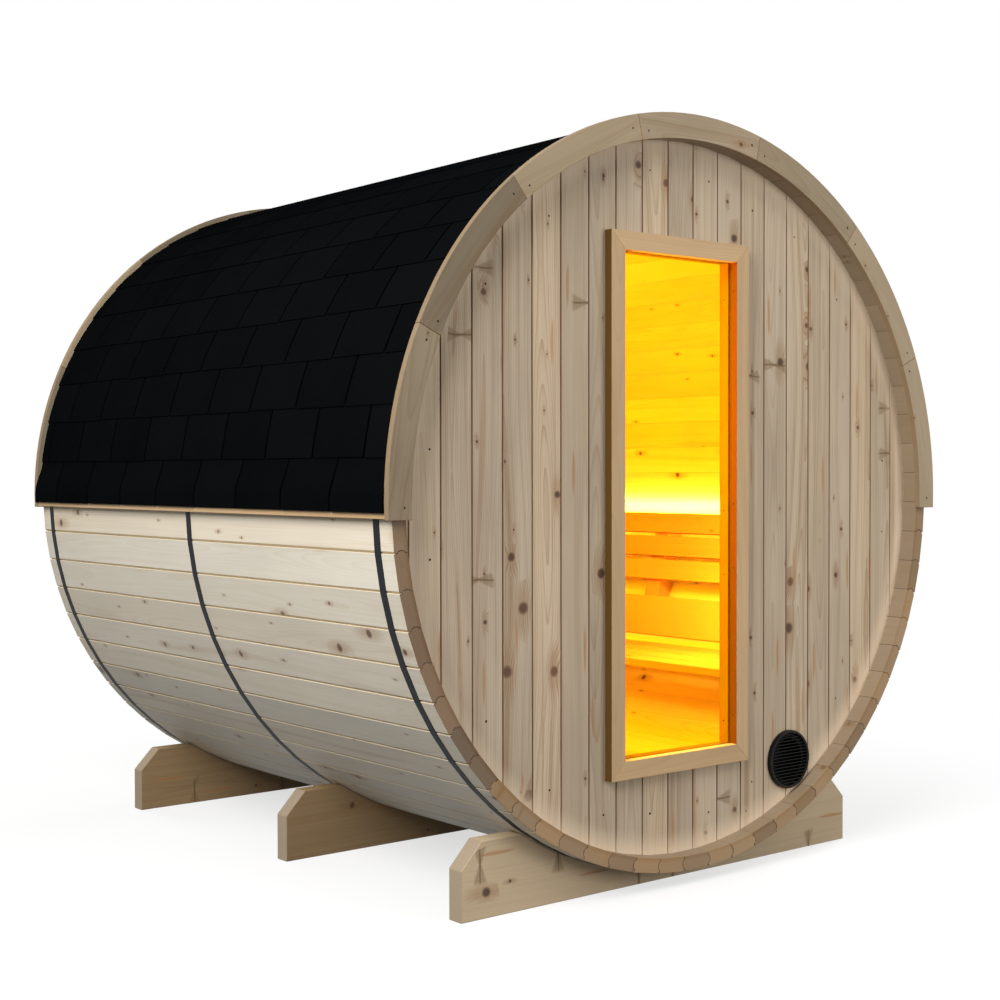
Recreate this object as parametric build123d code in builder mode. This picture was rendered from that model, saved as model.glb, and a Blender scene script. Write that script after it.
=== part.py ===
"""Barrel sauna: a ring of bead-and-cove staves on three cradles, closed by two boarded ends.

Millimetres, +Z up. The barrel's axis runs along Y, its glazed end faces -Y, and the
origin lies on the ground under the middle of the barrel.
"""

import math
import os

from build123d import *

# Clearances
joint_gap = 0.4          # between neighbouring staves, boards and mitres
seat_gap = 0.3           # between a piece and the curved face that it seats on
overrun = 20.0           # how far cutting shapes reach past what they cut

# Barrel: flat-faced staves round a horizontal axis
barrel_radius = 1000.0   # axis to the flat outside of a stave
stave_length = 1960.0
stave_thickness = 40.0
stave_count = 67
stave_turn = -1.3        # degrees: the first joint, measured from +X towards +Z
bead_width = 24.0
bead_height = 7.0
bead_chord_count = 4
croze_depth = 7.0        # groove in the staves that holds the end walls
end_recess = 50.0        # stave end to the outside of an end wall

# End walls
wall_thickness = 40.0

# Front window
window_view_width = 424.0
window_shift = -27.0     # window centre line from the barrel's
window_sill = 274.0      # lowest stave up to the bottom of the view
window_head = 309.0      # highest stave down to the top of the view
trim_width = 49.0
trim_thickness = 25.0
glass_thickness = 8.0
stop_width = 16.0

# Rear door: a boarded leaf flush with the same trim, on two strap hinges
door_view_width = 600.0
door_sill = 160.0        # lowest stave up to the bottom of the doorway
door_head = 260.0        # highest stave down to the top of the doorway
door_thickness = 40.0
door_clearance = 3.0
hinge_thickness = 3.0
hinge_height = 40.0
hinge_tail = 40.0        # strap on the trim
hinge_reach = 260.0      # strap on the leaf
hinge_knuckle_radius = 7.0
hinge_place_shares = (0.14, 0.86)
pull_length = 280.0
pull_width = 32.0
pull_thickness = 22.0
pull_clearance = 36.0    # finger room behind the pull
pull_post_length = 34.0
pull_inset = 62.0        # doorway's edge to the middle of the pull
pull_drop = 100.0        # barrel axis down to the middle of the pull

# Round vent low on the front wall
vent_radius = 84.0
vent_rim = 13.0
vent_rim_side_count = 40
vent_depth = 14.0
vent_edge_slope = 5.0    # chamfer round the front of the rim
vent_sleeve_radius = 62.0
vent_sleeve_wall = 3.0
vent_margin = 8.0        # rim to the staves
vent_turn = -60.7        # degrees about the barrel's axis, from +X towards +Z
vent_slat_count = 16
vent_slat_thickness = 2.4
vent_slat_depth = 8.0
vent_slat_tilt = 35.0    # degrees

# Steel bands
band_width = 25.0
band_thickness = 1.2
band_inset = 65.0        # stave end to the middle of an end band

# Roof: eave strips, shingle courses and ridge cap
eave_drop = 36.0         # barrel axis down to the bottom of the eave strip
eave_strip_height = 45.0
eave_strip_thickness = 17.0
shingle_lip = 14.0       # eave strip left bare below the first course
shingle_butt = 7.0       # two layers at a course's lower edge
shingle_top = 4.0
course_count = 12
ridge_width = 130.0
ridge_thickness = 8.0

# Arched fascia boards on both ends
fascia_stand = 23.0      # outer edge beyond the staves
fascia_lip = 5.0         # inner edge inside the staves
fascia_thickness = 18.0
fascia_drop = 39.0       # barrel axis down to the level ends
fascia_board_count = 7

# Cradles
cradle_web = 39.0        # ground to the barrel's lowest point
cradle_height = 196.0
cradle_length = 1460.0
cradle_thickness = 50.0
cradle_end_height = 130.0
cradle_chamfer_run = 63.0
cradle_inset = 118.0     # stave end to the middle of an end cradle
cradle_middle_y = -45.0

# Bench along the right side, with its leaning backrest and light strips
seat_height = 440.0      # lowest stave to the top of the seat
seat_slat_width = 88.0
seat_slat_gap = 12.0
seat_slat_count = 4
seat_thickness = 24.0
bracket_thickness = 45.0
bracket_setback = 20.0   # front edge of the seat back to the brackets
bracket_nose = 60.0
bracket_height = 300.0
bracket_place_shares = (-0.4, 0.4)
back_thickness = 22.0
back_rise = 28.0         # seat to the lower edge of the backrest
back_low_stand = 44.0    # staves to the face of the backrest at that edge
back_top_stand = 80.0    # staves to the face of the backrest at its upper edge
back_board_width = 136.0
back_board_gap = 60.0
back_slat_width = 70.0
back_slat_gap = 13.0
back_slat_count = 3
upright_width = 65.0
upright_setback = 30.0   # ends of an upright short of the backrest's edges
upright_place_shares = (-0.34, 0.024, 0.34)
light_width = 14.0
light_thickness = 8.0

# Places worked out from the sizes above
pitch = 360.0 / stave_count
half_pitch = math.radians(pitch / 2)
inner_radius = barrel_radius - stave_thickness
corner_radius = barrel_radius / math.cos(half_pitch)
axis_z = corner_radius + seat_gap + cradle_web
front_y = -stave_length / 2
rear_y = stave_length / 2
front_wall_y = front_y + end_recess
rear_wall_y = rear_y - end_recess
room_length = stave_length - 2 * (end_recess + wall_thickness)
croze_radius = inner_radius + croze_depth
croze_width = wall_thickness + seat_gap
wall_radius = croze_radius - seat_gap
floor_z = axis_z - inner_radius
roof_base = corner_radius + band_thickness + seat_gap

os.makedirs("parts", exist_ok=True)


def section(y):
    """Plane across the barrel at y; its sketch axes are +X and +Z and it extrudes forward."""
    return Plane.XZ.offset(-y)


def polar(radius, angle):
    """Point of a cross-section at a radius and an angle in degrees about the barrel's axis."""
    turn = math.radians(angle)
    return (radius * math.cos(turn), axis_z + radius * math.sin(turn))


def keep(piece, name):
    """Label a finished piece and write it."""
    piece.part.label = name
    export_step(piece.part, f"parts/{name}.step")


# Staves: flat faces, a bead on one edge and the matching cove on the other
def joint_point(radius, side):
    """Point on a stave's edge, with X along the radius through the middle of the stave."""
    return Vector(radius, side * (radius * math.tan(half_pitch) - joint_gap / 2))


def stave_edge(side):
    """Points up one edge of a stave from the inside; its bead or cove bulges the same way."""
    bulge = bead_height * Vector(-side * math.sin(half_pitch), math.cos(half_pitch))
    points = [joint_point(inner_radius, side)]
    for step in range(bead_chord_count + 1):
        turn = math.pi * step / bead_chord_count
        radius = inner_radius + stave_thickness / 2 - bead_width / 2 * math.cos(turn)
        points.append(joint_point(radius, side) + math.sin(turn) * bulge)
    return points + [joint_point(barrel_radius, side)]


with BuildSketch() as stave_section:
    with BuildLine():
        Polyline(*stave_edge(-1), *reversed(stave_edge(1)), close=True)
    make_face()


def stave_polygon(radius, mode=Mode.ADD):
    """Polygon across the barrel with a side parallel to the face of every stave."""
    with Locations((0, axis_z)):
        RegularPolygon(radius, stave_count, major_radius=False, rotation=stave_turn, mode=mode)


def stave_group(angles):
    """Every second stave of one side, grooved near both ends for the end walls."""
    with BuildPart() as group:
        with BuildSketch(section(rear_y)):
            with Locations((0, axis_z)):
                with PolarLocations(0, len(angles), angles[0], angles[-1] - angles[0], endpoint=True):
                    add(stave_section.sketch)
        extrude(amount=stave_length)
        for groove_y in (front_wall_y + croze_width, rear_wall_y):
            with BuildSketch(section(groove_y)):
                stave_polygon(croze_radius)
            extrude(amount=croze_width, mode=Mode.SUBTRACT)
    return group


stave_angles = [stave_turn + pitch * (place + 0.5) for place in range(stave_count)]
stave_sides = {"right": 0.0, "roof": 90.0, "left": 180.0, "floor": 270.0}
for side_name, side_angle in stave_sides.items():
    quadrant = [
        side_angle + turn
        for turn in sorted((angle - side_angle + 180.0) % 360.0 - 180.0 for angle in stave_angles)
        if -45.0 <= turn < 45.0
    ]
    keep(stave_group(quadrant[0::2]), f"{side_name}_staves_odd")
    keep(stave_group(quadrant[1::2]), f"{side_name}_staves_even")


# Steel bands: flat on every stave
def band(middle_y):
    """One hoop with a side for each stave."""
    with BuildPart() as hoop:
        with BuildSketch(section(middle_y + band_width / 2)):
            stave_polygon(barrel_radius + band_thickness)
            stave_polygon(barrel_radius, mode=Mode.SUBTRACT)
        extrude(amount=band_width)
    return hoop


keep(band(front_y + band_inset), "front_band")
keep(band(0), "middle_band")
keep(band(rear_y - band_inset), "rear_band")


# End walls: a disc in the crozes, split beside, over and under its opening
vent_middle = polar(inner_radius - vent_margin - vent_radius, vent_turn)


def end_wall(back_y, name, opening_x, opening_width, opening_bottom, opening_height):
    """Write the four pieces of an end wall round an opening."""
    opening_left = opening_x - opening_width / 2
    opening_right = opening_x + opening_width / 2
    opening_top = opening_bottom + opening_height
    reach = wall_radius + overrun
    spans = {
        "left": (-reach, opening_left, axis_z - reach, axis_z + reach),
        "right": (opening_right, reach, axis_z - reach, axis_z + reach),
        "head": (opening_left, opening_right, opening_top, axis_z + reach),
        "sill": (opening_left, opening_right, axis_z - reach, opening_bottom),
    }
    for span_name, (x_low, x_high, z_low, z_high) in spans.items():
        with BuildPart() as piece:
            with BuildSketch(section(back_y)):
                with Locations((0, axis_z)):
                    Circle(wall_radius)
                with Locations(((x_low + x_high) / 2, (z_low + z_high) / 2)):
                    Rectangle(x_high - x_low, z_high - z_low, mode=Mode.INTERSECT)
                if name == "front" and span_name == "right":
                    with Locations(vent_middle):
                        Circle(vent_sleeve_radius + seat_gap, mode=Mode.SUBTRACT)
            extrude(amount=wall_thickness)
        keep(piece, f"{name}_wall_{span_name}")


window_bottom = floor_z + window_sill
window_view_height = 2 * inner_radius - window_sill - window_head
window_opening_width = window_view_width + 2 * stop_width
window_opening_height = window_view_height + 2 * stop_width
window_opening_bottom = window_bottom - stop_width
door_bottom = floor_z + door_sill
door_view_height = 2 * inner_radius - door_sill - door_head
door_face_y = rear_wall_y + trim_thickness
end_wall(
    front_wall_y + wall_thickness, "front",
    window_shift, window_opening_width, window_opening_bottom, window_opening_height,
)
end_wall(
    rear_wall_y, "rear",
    0, door_view_width, door_bottom, door_view_height,
)


# Mitred trim round a view
def trim(back_y, middle_x, view_width, bottom, view_height):
    """Four mitred boards laid flat on a wall, with a hairline at each mitre."""
    middle_z = bottom + view_height / 2
    with BuildPart() as boards:
        with BuildSketch(section(back_y)):
            with Locations((middle_x, middle_z)):
                Rectangle(view_width + 2 * trim_width, view_height + 2 * trim_width)
                Rectangle(view_width, view_height, mode=Mode.SUBTRACT)
            corner_x = (view_width + trim_width) / 2
            corner_z = (view_height + trim_width) / 2
            for turn_x, turn_z in ((1, 1), (-1, 1), (-1, -1), (1, -1)):
                with Locations((middle_x + turn_x * corner_x, middle_z + turn_z * corner_z)):
                    Rectangle(
                        2 * trim_width, joint_gap, rotation=45.0 * turn_x * turn_z, mode=Mode.SUBTRACT
                    )
        extrude(amount=trim_thickness)
    return boards


keep(
    trim(front_wall_y, window_shift, window_view_width, window_bottom, window_view_height),
    "window_trim",
)
keep(
    trim(door_face_y, 0, door_view_width, door_bottom, door_view_height),
    "door_trim",
)

# Window glass behind the trim, held from inside by four stops
window_middle = (window_shift, window_bottom + window_view_height / 2)
with BuildPart() as glass:
    with BuildSketch(section(front_wall_y + glass_thickness)):
        with Locations(window_middle):
            Rectangle(window_opening_width - 2 * seat_gap, window_opening_height - 2 * seat_gap)
    extrude(amount=glass_thickness)
keep(glass, "window_glass")

with BuildPart() as stops:
    with BuildSketch(section(front_wall_y + wall_thickness)):
        with Locations(window_middle):
            Rectangle(window_opening_width, window_opening_height)
            Rectangle(window_view_width, window_view_height, mode=Mode.SUBTRACT)
            with GridLocations(window_opening_width, window_view_height + joint_gap, 2, 2):
                Rectangle(2 * stop_width, joint_gap, mode=Mode.SUBTRACT)
    extrude(amount=wall_thickness - glass_thickness)
keep(stops, "window_stops")

# Door leaf, its strap hinges and its wooden pull
door_middle_z = door_bottom + door_view_height / 2
with BuildPart() as door_leaf:
    with BuildSketch(section(door_face_y)):
        with Locations((0, door_middle_z)):
            Rectangle(door_view_width - 2 * door_clearance, door_view_height - 2 * door_clearance)
    extrude(amount=door_thickness)
keep(door_leaf, "door_leaf")

hinge_edge_x = -door_view_width / 2
hinge_line_x = hinge_edge_x + door_clearance / 2
with BuildPart() as hinges:
    for share in hinge_place_shares:
        hinge_z = door_bottom + door_view_height * share
        with BuildSketch(section(door_face_y + hinge_thickness)):
            with Locations((hinge_edge_x + (hinge_reach - hinge_tail) / 2, hinge_z)):
                Rectangle(hinge_reach + hinge_tail, hinge_height)
        extrude(amount=hinge_thickness)
        with BuildSketch(Plane.XY.offset(hinge_z)):
            with Locations((hinge_line_x, door_face_y + hinge_knuckle_radius)):
                Circle(hinge_knuckle_radius)
        extrude(amount=hinge_height / 2, both=True)
keep(hinges, "door_hinges")

pull_x = door_view_width / 2 - pull_inset
pull_z = axis_z - pull_drop
with BuildPart() as pull_posts:
    with BuildSketch(section(door_face_y + pull_clearance)):
        with Locations((pull_x, pull_z)):
            with GridLocations(pull_width, pull_length - pull_post_length, 1, 2):
                Rectangle(pull_width, pull_post_length)
    extrude(amount=pull_clearance)
keep(pull_posts, "door_pull_posts")

with BuildPart() as pull:
    with BuildSketch(section(door_face_y + pull_clearance + pull_thickness)):
        with Locations((pull_x, pull_z)):
            Rectangle(pull_width, pull_length)
    extrude(amount=pull_thickness)
    fillet(pull.edges().filter_by(Axis.Z).group_by(Axis.Y)[-1], pull_width / 4)
keep(pull, "door_pull")

# Round vent: a rimmed plate with tilted slats and a sleeve through the wall
vent_x, vent_z = vent_middle
with BuildPart() as vent:
    with BuildSketch(section(front_wall_y)):
        with Locations(vent_middle):
            Circle(vent_radius)
            RegularPolygon(
                vent_radius - vent_rim, vent_rim_side_count, major_radius=False, mode=Mode.SUBTRACT
            )
    extrude(amount=vent_depth)
    chamfer(vent.edges().filter_by(GeomType.CIRCLE).group_by(Axis.Y)[0], vent_edge_slope)
    slat_span = 2 * (vent_radius - vent_rim)
    slat_pitch = slat_span / vent_slat_count
    slat_middle_y = front_wall_y - vent_sleeve_wall - vent_slat_depth / 2
    for place in range(vent_slat_count):
        slat_rise = slat_pitch * (place + 0.5) - slat_span / 2
        slat_half = math.sqrt((slat_span / 2) ** 2 - slat_rise**2) + vent_rim / 2
        with BuildSketch(Plane.YZ.offset(vent_x)):
            with Locations((slat_middle_y, vent_z + slat_rise)):
                Rectangle(vent_slat_depth, vent_slat_thickness, rotation=vent_slat_tilt)
        extrude(amount=slat_half, both=True)
    with BuildSketch(section(front_wall_y + wall_thickness)):
        with Locations(vent_middle):
            Circle(vent_sleeve_radius)
            Circle(vent_sleeve_radius - vent_sleeve_wall, mode=Mode.SUBTRACT)
    extrude(amount=wall_thickness)
    with BuildSketch(section(front_wall_y)):
        with Locations(vent_middle):
            Circle(vent_radius - vent_rim / 2)
            Circle(vent_sleeve_radius - vent_sleeve_wall, mode=Mode.SUBTRACT)
    extrude(amount=vent_sleeve_wall)
keep(vent, "vent_louvre")

# Eave strips along both lower edges of the roof
strip_middle = roof_base + eave_strip_thickness / 2
strip_angle = math.degrees((eave_strip_height / 2 - eave_drop) / strip_middle)
with BuildPart() as eave_strips:
    with BuildSketch(section(rear_y)):
        for strip_turn in (strip_angle, 180.0 - strip_angle):
            with Locations(polar(strip_middle, strip_turn)):
                Rectangle(eave_strip_thickness, eave_strip_height, rotation=strip_turn)
    extrude(amount=stave_length)
keep(eave_strips, "eave_strips")

# Shingle courses: each steps out over the one below; the first rides up on the eave strip
strip_outer = roof_base + eave_strip_thickness
shingle_base = math.hypot(strip_outer, eave_strip_height / 2) + seat_gap
first_angle = math.degrees((shingle_lip - eave_drop) / shingle_base)
strip_end_angle = math.degrees((eave_strip_height - eave_drop) / shingle_base)
ridge_angle = 90.0 - math.degrees(ridge_width / 2 / roof_base)
course_angle = (ridge_angle - first_angle) / course_count
gap_angle = math.degrees(joint_gap / roof_base)

with BuildPart() as right_shingles:
    for place in range(course_count):
        low = first_angle + course_angle * place
        high = low + course_angle - gap_angle
        middle = (low + high) / 2
        with BuildSketch(section(rear_y)):
            with BuildLine():
                if place == 0:
                    under = Polyline(
                        polar(shingle_base, low), polar(shingle_base, strip_end_angle), polar(roof_base, high)
                    )
                    over = Polyline(
                        polar(shingle_base + shingle_butt, low),
                        polar(shingle_base + shingle_butt, strip_end_angle),
                        polar(roof_base + shingle_top, high),
                    )
                else:
                    under = ThreePointArc(
                        polar(roof_base, low), polar(roof_base, middle), polar(roof_base, high)
                    )
                    over = ThreePointArc(
                        polar(roof_base + shingle_butt, low),
                        polar(roof_base + (shingle_butt + shingle_top) / 2, middle),
                        polar(roof_base + shingle_top, high),
                    )
                Line(under @ 0, over @ 0)
                Line(under @ 1, over @ 1)
            make_face()
        extrude(amount=stave_length)
keep(right_shingles, "right_shingles")

with BuildPart() as left_shingles:
    mirror(right_shingles.part, about=Plane.YZ)
keep(left_shingles, "left_shingles")

with BuildPart() as ridge_cap:
    with BuildSketch(section(rear_y)):
        with BuildLine():
            cap_ends = (ridge_angle, 180.0 - ridge_angle)
            inner_cap = ThreePointArc(*[polar(roof_base, turn) for turn in (cap_ends[0], 90.0, cap_ends[1])])
            outer_cap = ThreePointArc(
                *[polar(roof_base + ridge_thickness, turn) for turn in (cap_ends[0], 90.0, cap_ends[1])]
            )
            Line(inner_cap @ 0, outer_cap @ 0)
            Line(inner_cap @ 1, outer_cap @ 1)
        make_face()
    extrude(amount=stave_length)
keep(ridge_cap, "ridge_cap")


# Arched fascia boards over the stave ends
def fascia(back_y):
    """An arch of butted boards with level ends."""
    outer = barrel_radius + fascia_stand
    inner = inner_radius - fascia_lip
    end_angle = -math.degrees(math.asin(fascia_drop / outer))
    board_angle = (180.0 - 2 * end_angle) / fascia_board_count
    with BuildPart() as arch:
        with BuildSketch(section(back_y)):
            with Locations((0, axis_z)):
                Circle(outer)
                Circle(inner, mode=Mode.SUBTRACT)
            with Locations((0, axis_z - fascia_drop - outer)):
                Rectangle(2 * (outer + overrun), 2 * outer, mode=Mode.SUBTRACT)
            for place in range(1, fascia_board_count):
                joint_angle = end_angle + board_angle * place
                with Locations(polar((outer + inner) / 2, joint_angle)):
                    Rectangle(outer - inner + overrun, joint_gap, rotation=joint_angle, mode=Mode.SUBTRACT)
        extrude(amount=fascia_thickness)
    return arch


keep(fascia(front_y), "front_fascia")
keep(fascia(rear_y + fascia_thickness), "rear_fascia")


# Cradles: planks with a saddle for the barrel and chamfered shoulders
def cradle(middle_y):
    """One plank across the barrel, standing on the ground."""
    half = cradle_length / 2
    shoulder = half - cradle_chamfer_run
    with BuildPart() as plank:
        with BuildSketch(section(middle_y + cradle_thickness / 2)):
            with BuildLine():
                Polyline(
                    (-half, 0), (half, 0), (half, cradle_end_height), (shoulder, cradle_height),
                    (-shoulder, cradle_height), (-half, cradle_end_height), close=True,
                )
            make_face()
            with Locations((0, axis_z)):
                Circle(corner_radius + seat_gap, mode=Mode.SUBTRACT)
        extrude(amount=cradle_thickness)
    return plank


keep(cradle(front_y + cradle_inset), "front_cradle")
keep(cradle(cradle_middle_y), "middle_cradle")
keep(cradle(rear_y - cradle_inset), "rear_cradle")


# Bench: slats along the right side on brackets cut to the staves
def wall_x(z):
    """Inside face of the staves on the right at a height."""
    return math.sqrt((inner_radius - seat_gap) ** 2 - (z - axis_z) ** 2)


seat_top = floor_z + seat_height
seat_under = seat_top - seat_thickness
seat_back = wall_x(seat_under)
seat_step = seat_slat_width + seat_slat_gap
room_span = room_length - 2 * seat_gap
room_rear = rear_wall_y - wall_thickness - seat_gap

with BuildPart() as bench_seat:
    with BuildSketch(section(room_rear)):
        for place in range(seat_slat_count):
            slat_x = seat_back - seat_slat_width / 2 - seat_step * place
            with Locations((slat_x, seat_top - seat_thickness / 2)):
                Rectangle(seat_slat_width, seat_thickness)
    extrude(amount=room_span)
keep(bench_seat, "bench_seat")

seat_front = seat_back - seat_step * seat_slat_count + seat_slat_gap
with BuildPart() as bench_brackets:
    for share in bracket_place_shares:
        with BuildSketch(section(room_length * share + bracket_thickness / 2)):
            with BuildLine():
                foot = seat_under - bracket_height
                Polyline(
                    (seat_front + bracket_setback, seat_under),
                    (seat_front + bracket_setback, seat_under - bracket_nose),
                    (wall_x(foot), foot),
                    (inner_radius, foot),
                    (inner_radius, seat_under),
                    close=True,
                )
            make_face()
            with Locations((0, axis_z)):
                Circle(inner_radius - seat_gap, mode=Mode.INTERSECT)
        extrude(amount=bracket_thickness)
keep(bench_brackets, "bench_brackets")

# Backrest: a wide board and slats on a leaning line, on uprights cut to the staves
back_length = (
    back_board_width + back_board_gap
    + back_slat_count * back_slat_width + (back_slat_count - 1) * back_slat_gap
)
back_low_radius = inner_radius - back_low_stand
back_top_radius = inner_radius - back_top_stand
back_low_z = seat_top + back_rise
back_low_turn = math.asin((back_low_z - axis_z) / back_low_radius)
back_low_x = back_low_radius * math.cos(back_low_turn)
back_sweep = math.acos(
    (back_low_radius**2 + back_top_radius**2 - back_length**2) / (2 * back_low_radius * back_top_radius)
)
back_top_x = back_top_radius * math.cos(back_low_turn + back_sweep)
lean = math.asin((back_top_x - back_low_x) / back_length)


def back_point(along, behind):
    """Point of a cross-section up the leaning face and behind it."""
    return (
        back_low_x + along * math.sin(lean) + behind * math.cos(lean),
        back_low_z + along * math.cos(lean) - behind * math.sin(lean),
    )


slat_starts = [
    back_board_width + back_board_gap + place * (back_slat_width + back_slat_gap)
    for place in range(back_slat_count)
]
back_spans = [(0, back_board_width)] + [(start, back_slat_width) for start in slat_starts]
with BuildPart() as backrest:
    with BuildSketch(section(room_rear)):
        for start, width in back_spans:
            with Locations(back_point(start + width / 2, back_thickness / 2)):
                Rectangle(back_thickness, width, rotation=-math.degrees(lean))
    extrude(amount=room_span)
keep(backrest, "backrest_slats")

with BuildPart() as uprights:
    for share in upright_place_shares:
        with BuildSketch(section(room_length * share + upright_width / 2)):
            with BuildLine():
                Polyline(
                    back_point(upright_setback, back_thickness),
                    back_point(back_length - upright_setback, back_thickness),
                    back_point(back_length - upright_setback, inner_radius),
                    back_point(upright_setback, inner_radius),
                    close=True,
                )
            make_face()
            with Locations((0, axis_z)):
                Circle(inner_radius - seat_gap, mode=Mode.INTERSECT)
        extrude(amount=upright_width)
keep(uprights, "backrest_uprights")

# Light strips behind the upper and lower edges of the backrest
with BuildPart() as light_strips:
    with BuildSketch(section(room_rear)):
        for along in (light_width, back_length - light_width):
            with Locations(back_point(along, back_thickness + light_thickness / 2)):
                Rectangle(light_thickness, light_width, rotation=-math.degrees(lean))
    extrude(amount=room_span)
keep(light_strips, "light_strips")
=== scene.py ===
"""Barrel sauna: planed staves, boarded ends, shingles, nails, glass and warm light over a fixed frame."""

import math

import bmesh
import bpy
import numpy as np
from bpy.props import FloatProperty, FloatVectorProperty, IntProperty, PointerProperty
from bpy.types import Operator, Panel, PropertyGroup
from mathutils import Matrix, Quaternion, Vector


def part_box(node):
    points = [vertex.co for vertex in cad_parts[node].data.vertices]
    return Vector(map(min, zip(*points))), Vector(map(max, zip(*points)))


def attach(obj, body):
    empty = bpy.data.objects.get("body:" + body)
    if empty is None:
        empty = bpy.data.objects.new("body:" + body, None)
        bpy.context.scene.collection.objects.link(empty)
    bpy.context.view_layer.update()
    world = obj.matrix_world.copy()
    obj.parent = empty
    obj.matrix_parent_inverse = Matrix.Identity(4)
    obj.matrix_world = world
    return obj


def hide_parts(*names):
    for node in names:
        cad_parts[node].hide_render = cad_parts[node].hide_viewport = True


bl_info = {
    "name": "Barrel sauna",
    "version": (1, 0, 0),
    "blender": (4, 5, 0),
    "location": "3D View > Sidebar > Sauna",
    "description": "Boards, shingles, fittings and light for a barrel sauna",
    "category": "Add Mesh",
}

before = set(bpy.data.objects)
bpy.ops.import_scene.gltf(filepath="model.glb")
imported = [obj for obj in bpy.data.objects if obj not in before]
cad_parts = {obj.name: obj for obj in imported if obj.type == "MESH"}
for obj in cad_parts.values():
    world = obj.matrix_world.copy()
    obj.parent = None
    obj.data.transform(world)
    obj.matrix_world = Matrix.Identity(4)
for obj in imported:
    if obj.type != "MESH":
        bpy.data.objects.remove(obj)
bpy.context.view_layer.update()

# Places read from the frame, and sizes of its boards, in metres
FASCIA_LOW, FASCIA_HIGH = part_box("front_fascia")
AXIS_Z = FASCIA_HIGH.z - FASCIA_HIGH.x
STAVE_LOW, STAVE_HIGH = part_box("right_staves_odd")
FASCIA_RISE = 0.0225
STAVE_THICKNESS = 0.04
STAVE_STRAY = 0.0006
BARREL_RADIUS = FASCIA_HIGH.x - FASCIA_RISE
WALL_LOW, WALL_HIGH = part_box("front_wall_left")
WALL_RADIUS = -WALL_LOW.x
REAR_WALL_LOW, REAR_WALL_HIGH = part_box("rear_wall_left")
DOOR_LOW, DOOR_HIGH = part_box("door_leaf")
VENT_LOW, VENT_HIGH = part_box("vent_louvre")
RIDGE_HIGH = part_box("ridge_cap")[1]
EAVE_LOW, EAVE_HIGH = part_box("right_shingles")
LIGHT_LOW, LIGHT_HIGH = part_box("light_strips")

BODY = "root"
MERGE_DISTANCE = 0.00001
FLAT_ANGLE = math.radians(0.3)
EASED_ANGLE = math.radians(30)
SMOOTH_ANGLE = math.radians(15)


def paint(red, green, blue):
    """Linear colour of a display colour from 0 to 255."""
    return tuple(
        value / 12.92 if value <= 0.04045 else ((value + 0.055) / 1.055) ** 2.4
        for value in (red / 255, green / 255, blue / 255)
    )


def colour_property(name, description, display):
    """A colour setting whose default is given as a display colour."""
    return FloatVectorProperty(
        name=name, description=description, subtype="COLOR", size=3, min=0.0, max=1.0, default=paint(*display)
    )


def length_property(name, description, default):
    """A length setting in metres."""
    return FloatProperty(name=name, description=description, unit="LENGTH", default=default, precision=4)


def power_property(name, description, default):
    """A lamp's power in watts."""
    return FloatProperty(name=name, description=f"Power of the {description}", unit="POWER", default=default)


class SaunaBoards(PropertyGroup):
    """Sizes of boards and nails."""

    cover: length_property("Cover", "Width of an end-wall board between its joints", 0.0955)
    first_joint: length_property("First joint", "Distance of a board joint from the wall's middle", 0.0372)
    groove_width: length_property("Groove width", "Half the width of the groove between boards", 0.0025)
    groove_depth: length_property("Groove depth", "Depth of the groove between boards", 0.005)
    tongue: length_property("Tongue", "Length of a board's tongue", 0.007)
    door_cover: length_property("Door cover", "Width of a door board between its joints", 0.099)
    eased_edge: length_property("Eased edge", "Width of the eased edges of planed boards", 0.0014)
    trim_edge: length_property("Trim edge", "Width of the eased edges of the window trim", 0.0005)
    cradle_edge: length_property("Cradle edge", "Width of the eased edges of the cradles", 0.0024)
    bench_edge: length_property("Bench edge", "Width of the eased edges of the bench", 0.003)
    stave_chamfer: length_property("Stave chamfer", "Chamfer beside the bead of a stave", 0.006)
    stave_count: IntProperty(name="Staves", description="Staves round the barrel", default=67, min=3)
    nail_radius: length_property("Nail radius", "Radius of a nail head", 0.0031)
    nail_stand: length_property("Nail stand", "Height of a nail head over the wood", 0.0006)
    brad_radius: length_property("Brad radius", "Radius of a brad's head in the window stops", 0.0022)
    bolt_radius: length_property("Bolt radius", "Radius of a hinge bolt's head", 0.007)


class SaunaRoof(PropertyGroup):
    """Sizes of the shingles."""

    tab_length: length_property("Tab length", "Length of a shingle tab along the eave", 0.225)
    slit: length_property("Slit", "Gap between neighbouring tabs", 0.008)
    course_count: IntProperty(name="Courses", description="Courses of shingles on a side", default=12, min=1)
    butt: length_property("Butt", "Thickness of the roof at the lower edge of a course", 0.007)
    sheet: length_property("Sheet", "Thickness of the felt under the tabs", 0.0006)
    ridge_rise: length_property("Ridge rise", "Thickness of the ridge cap", 0.008)
    ridge_tab: length_property("Ridge tab", "Length of a piece of the ridge cap", 0.14)
    wander: length_property("Wander", "How far the lower edges of the tabs stray from their line", 0.0016)


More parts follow.
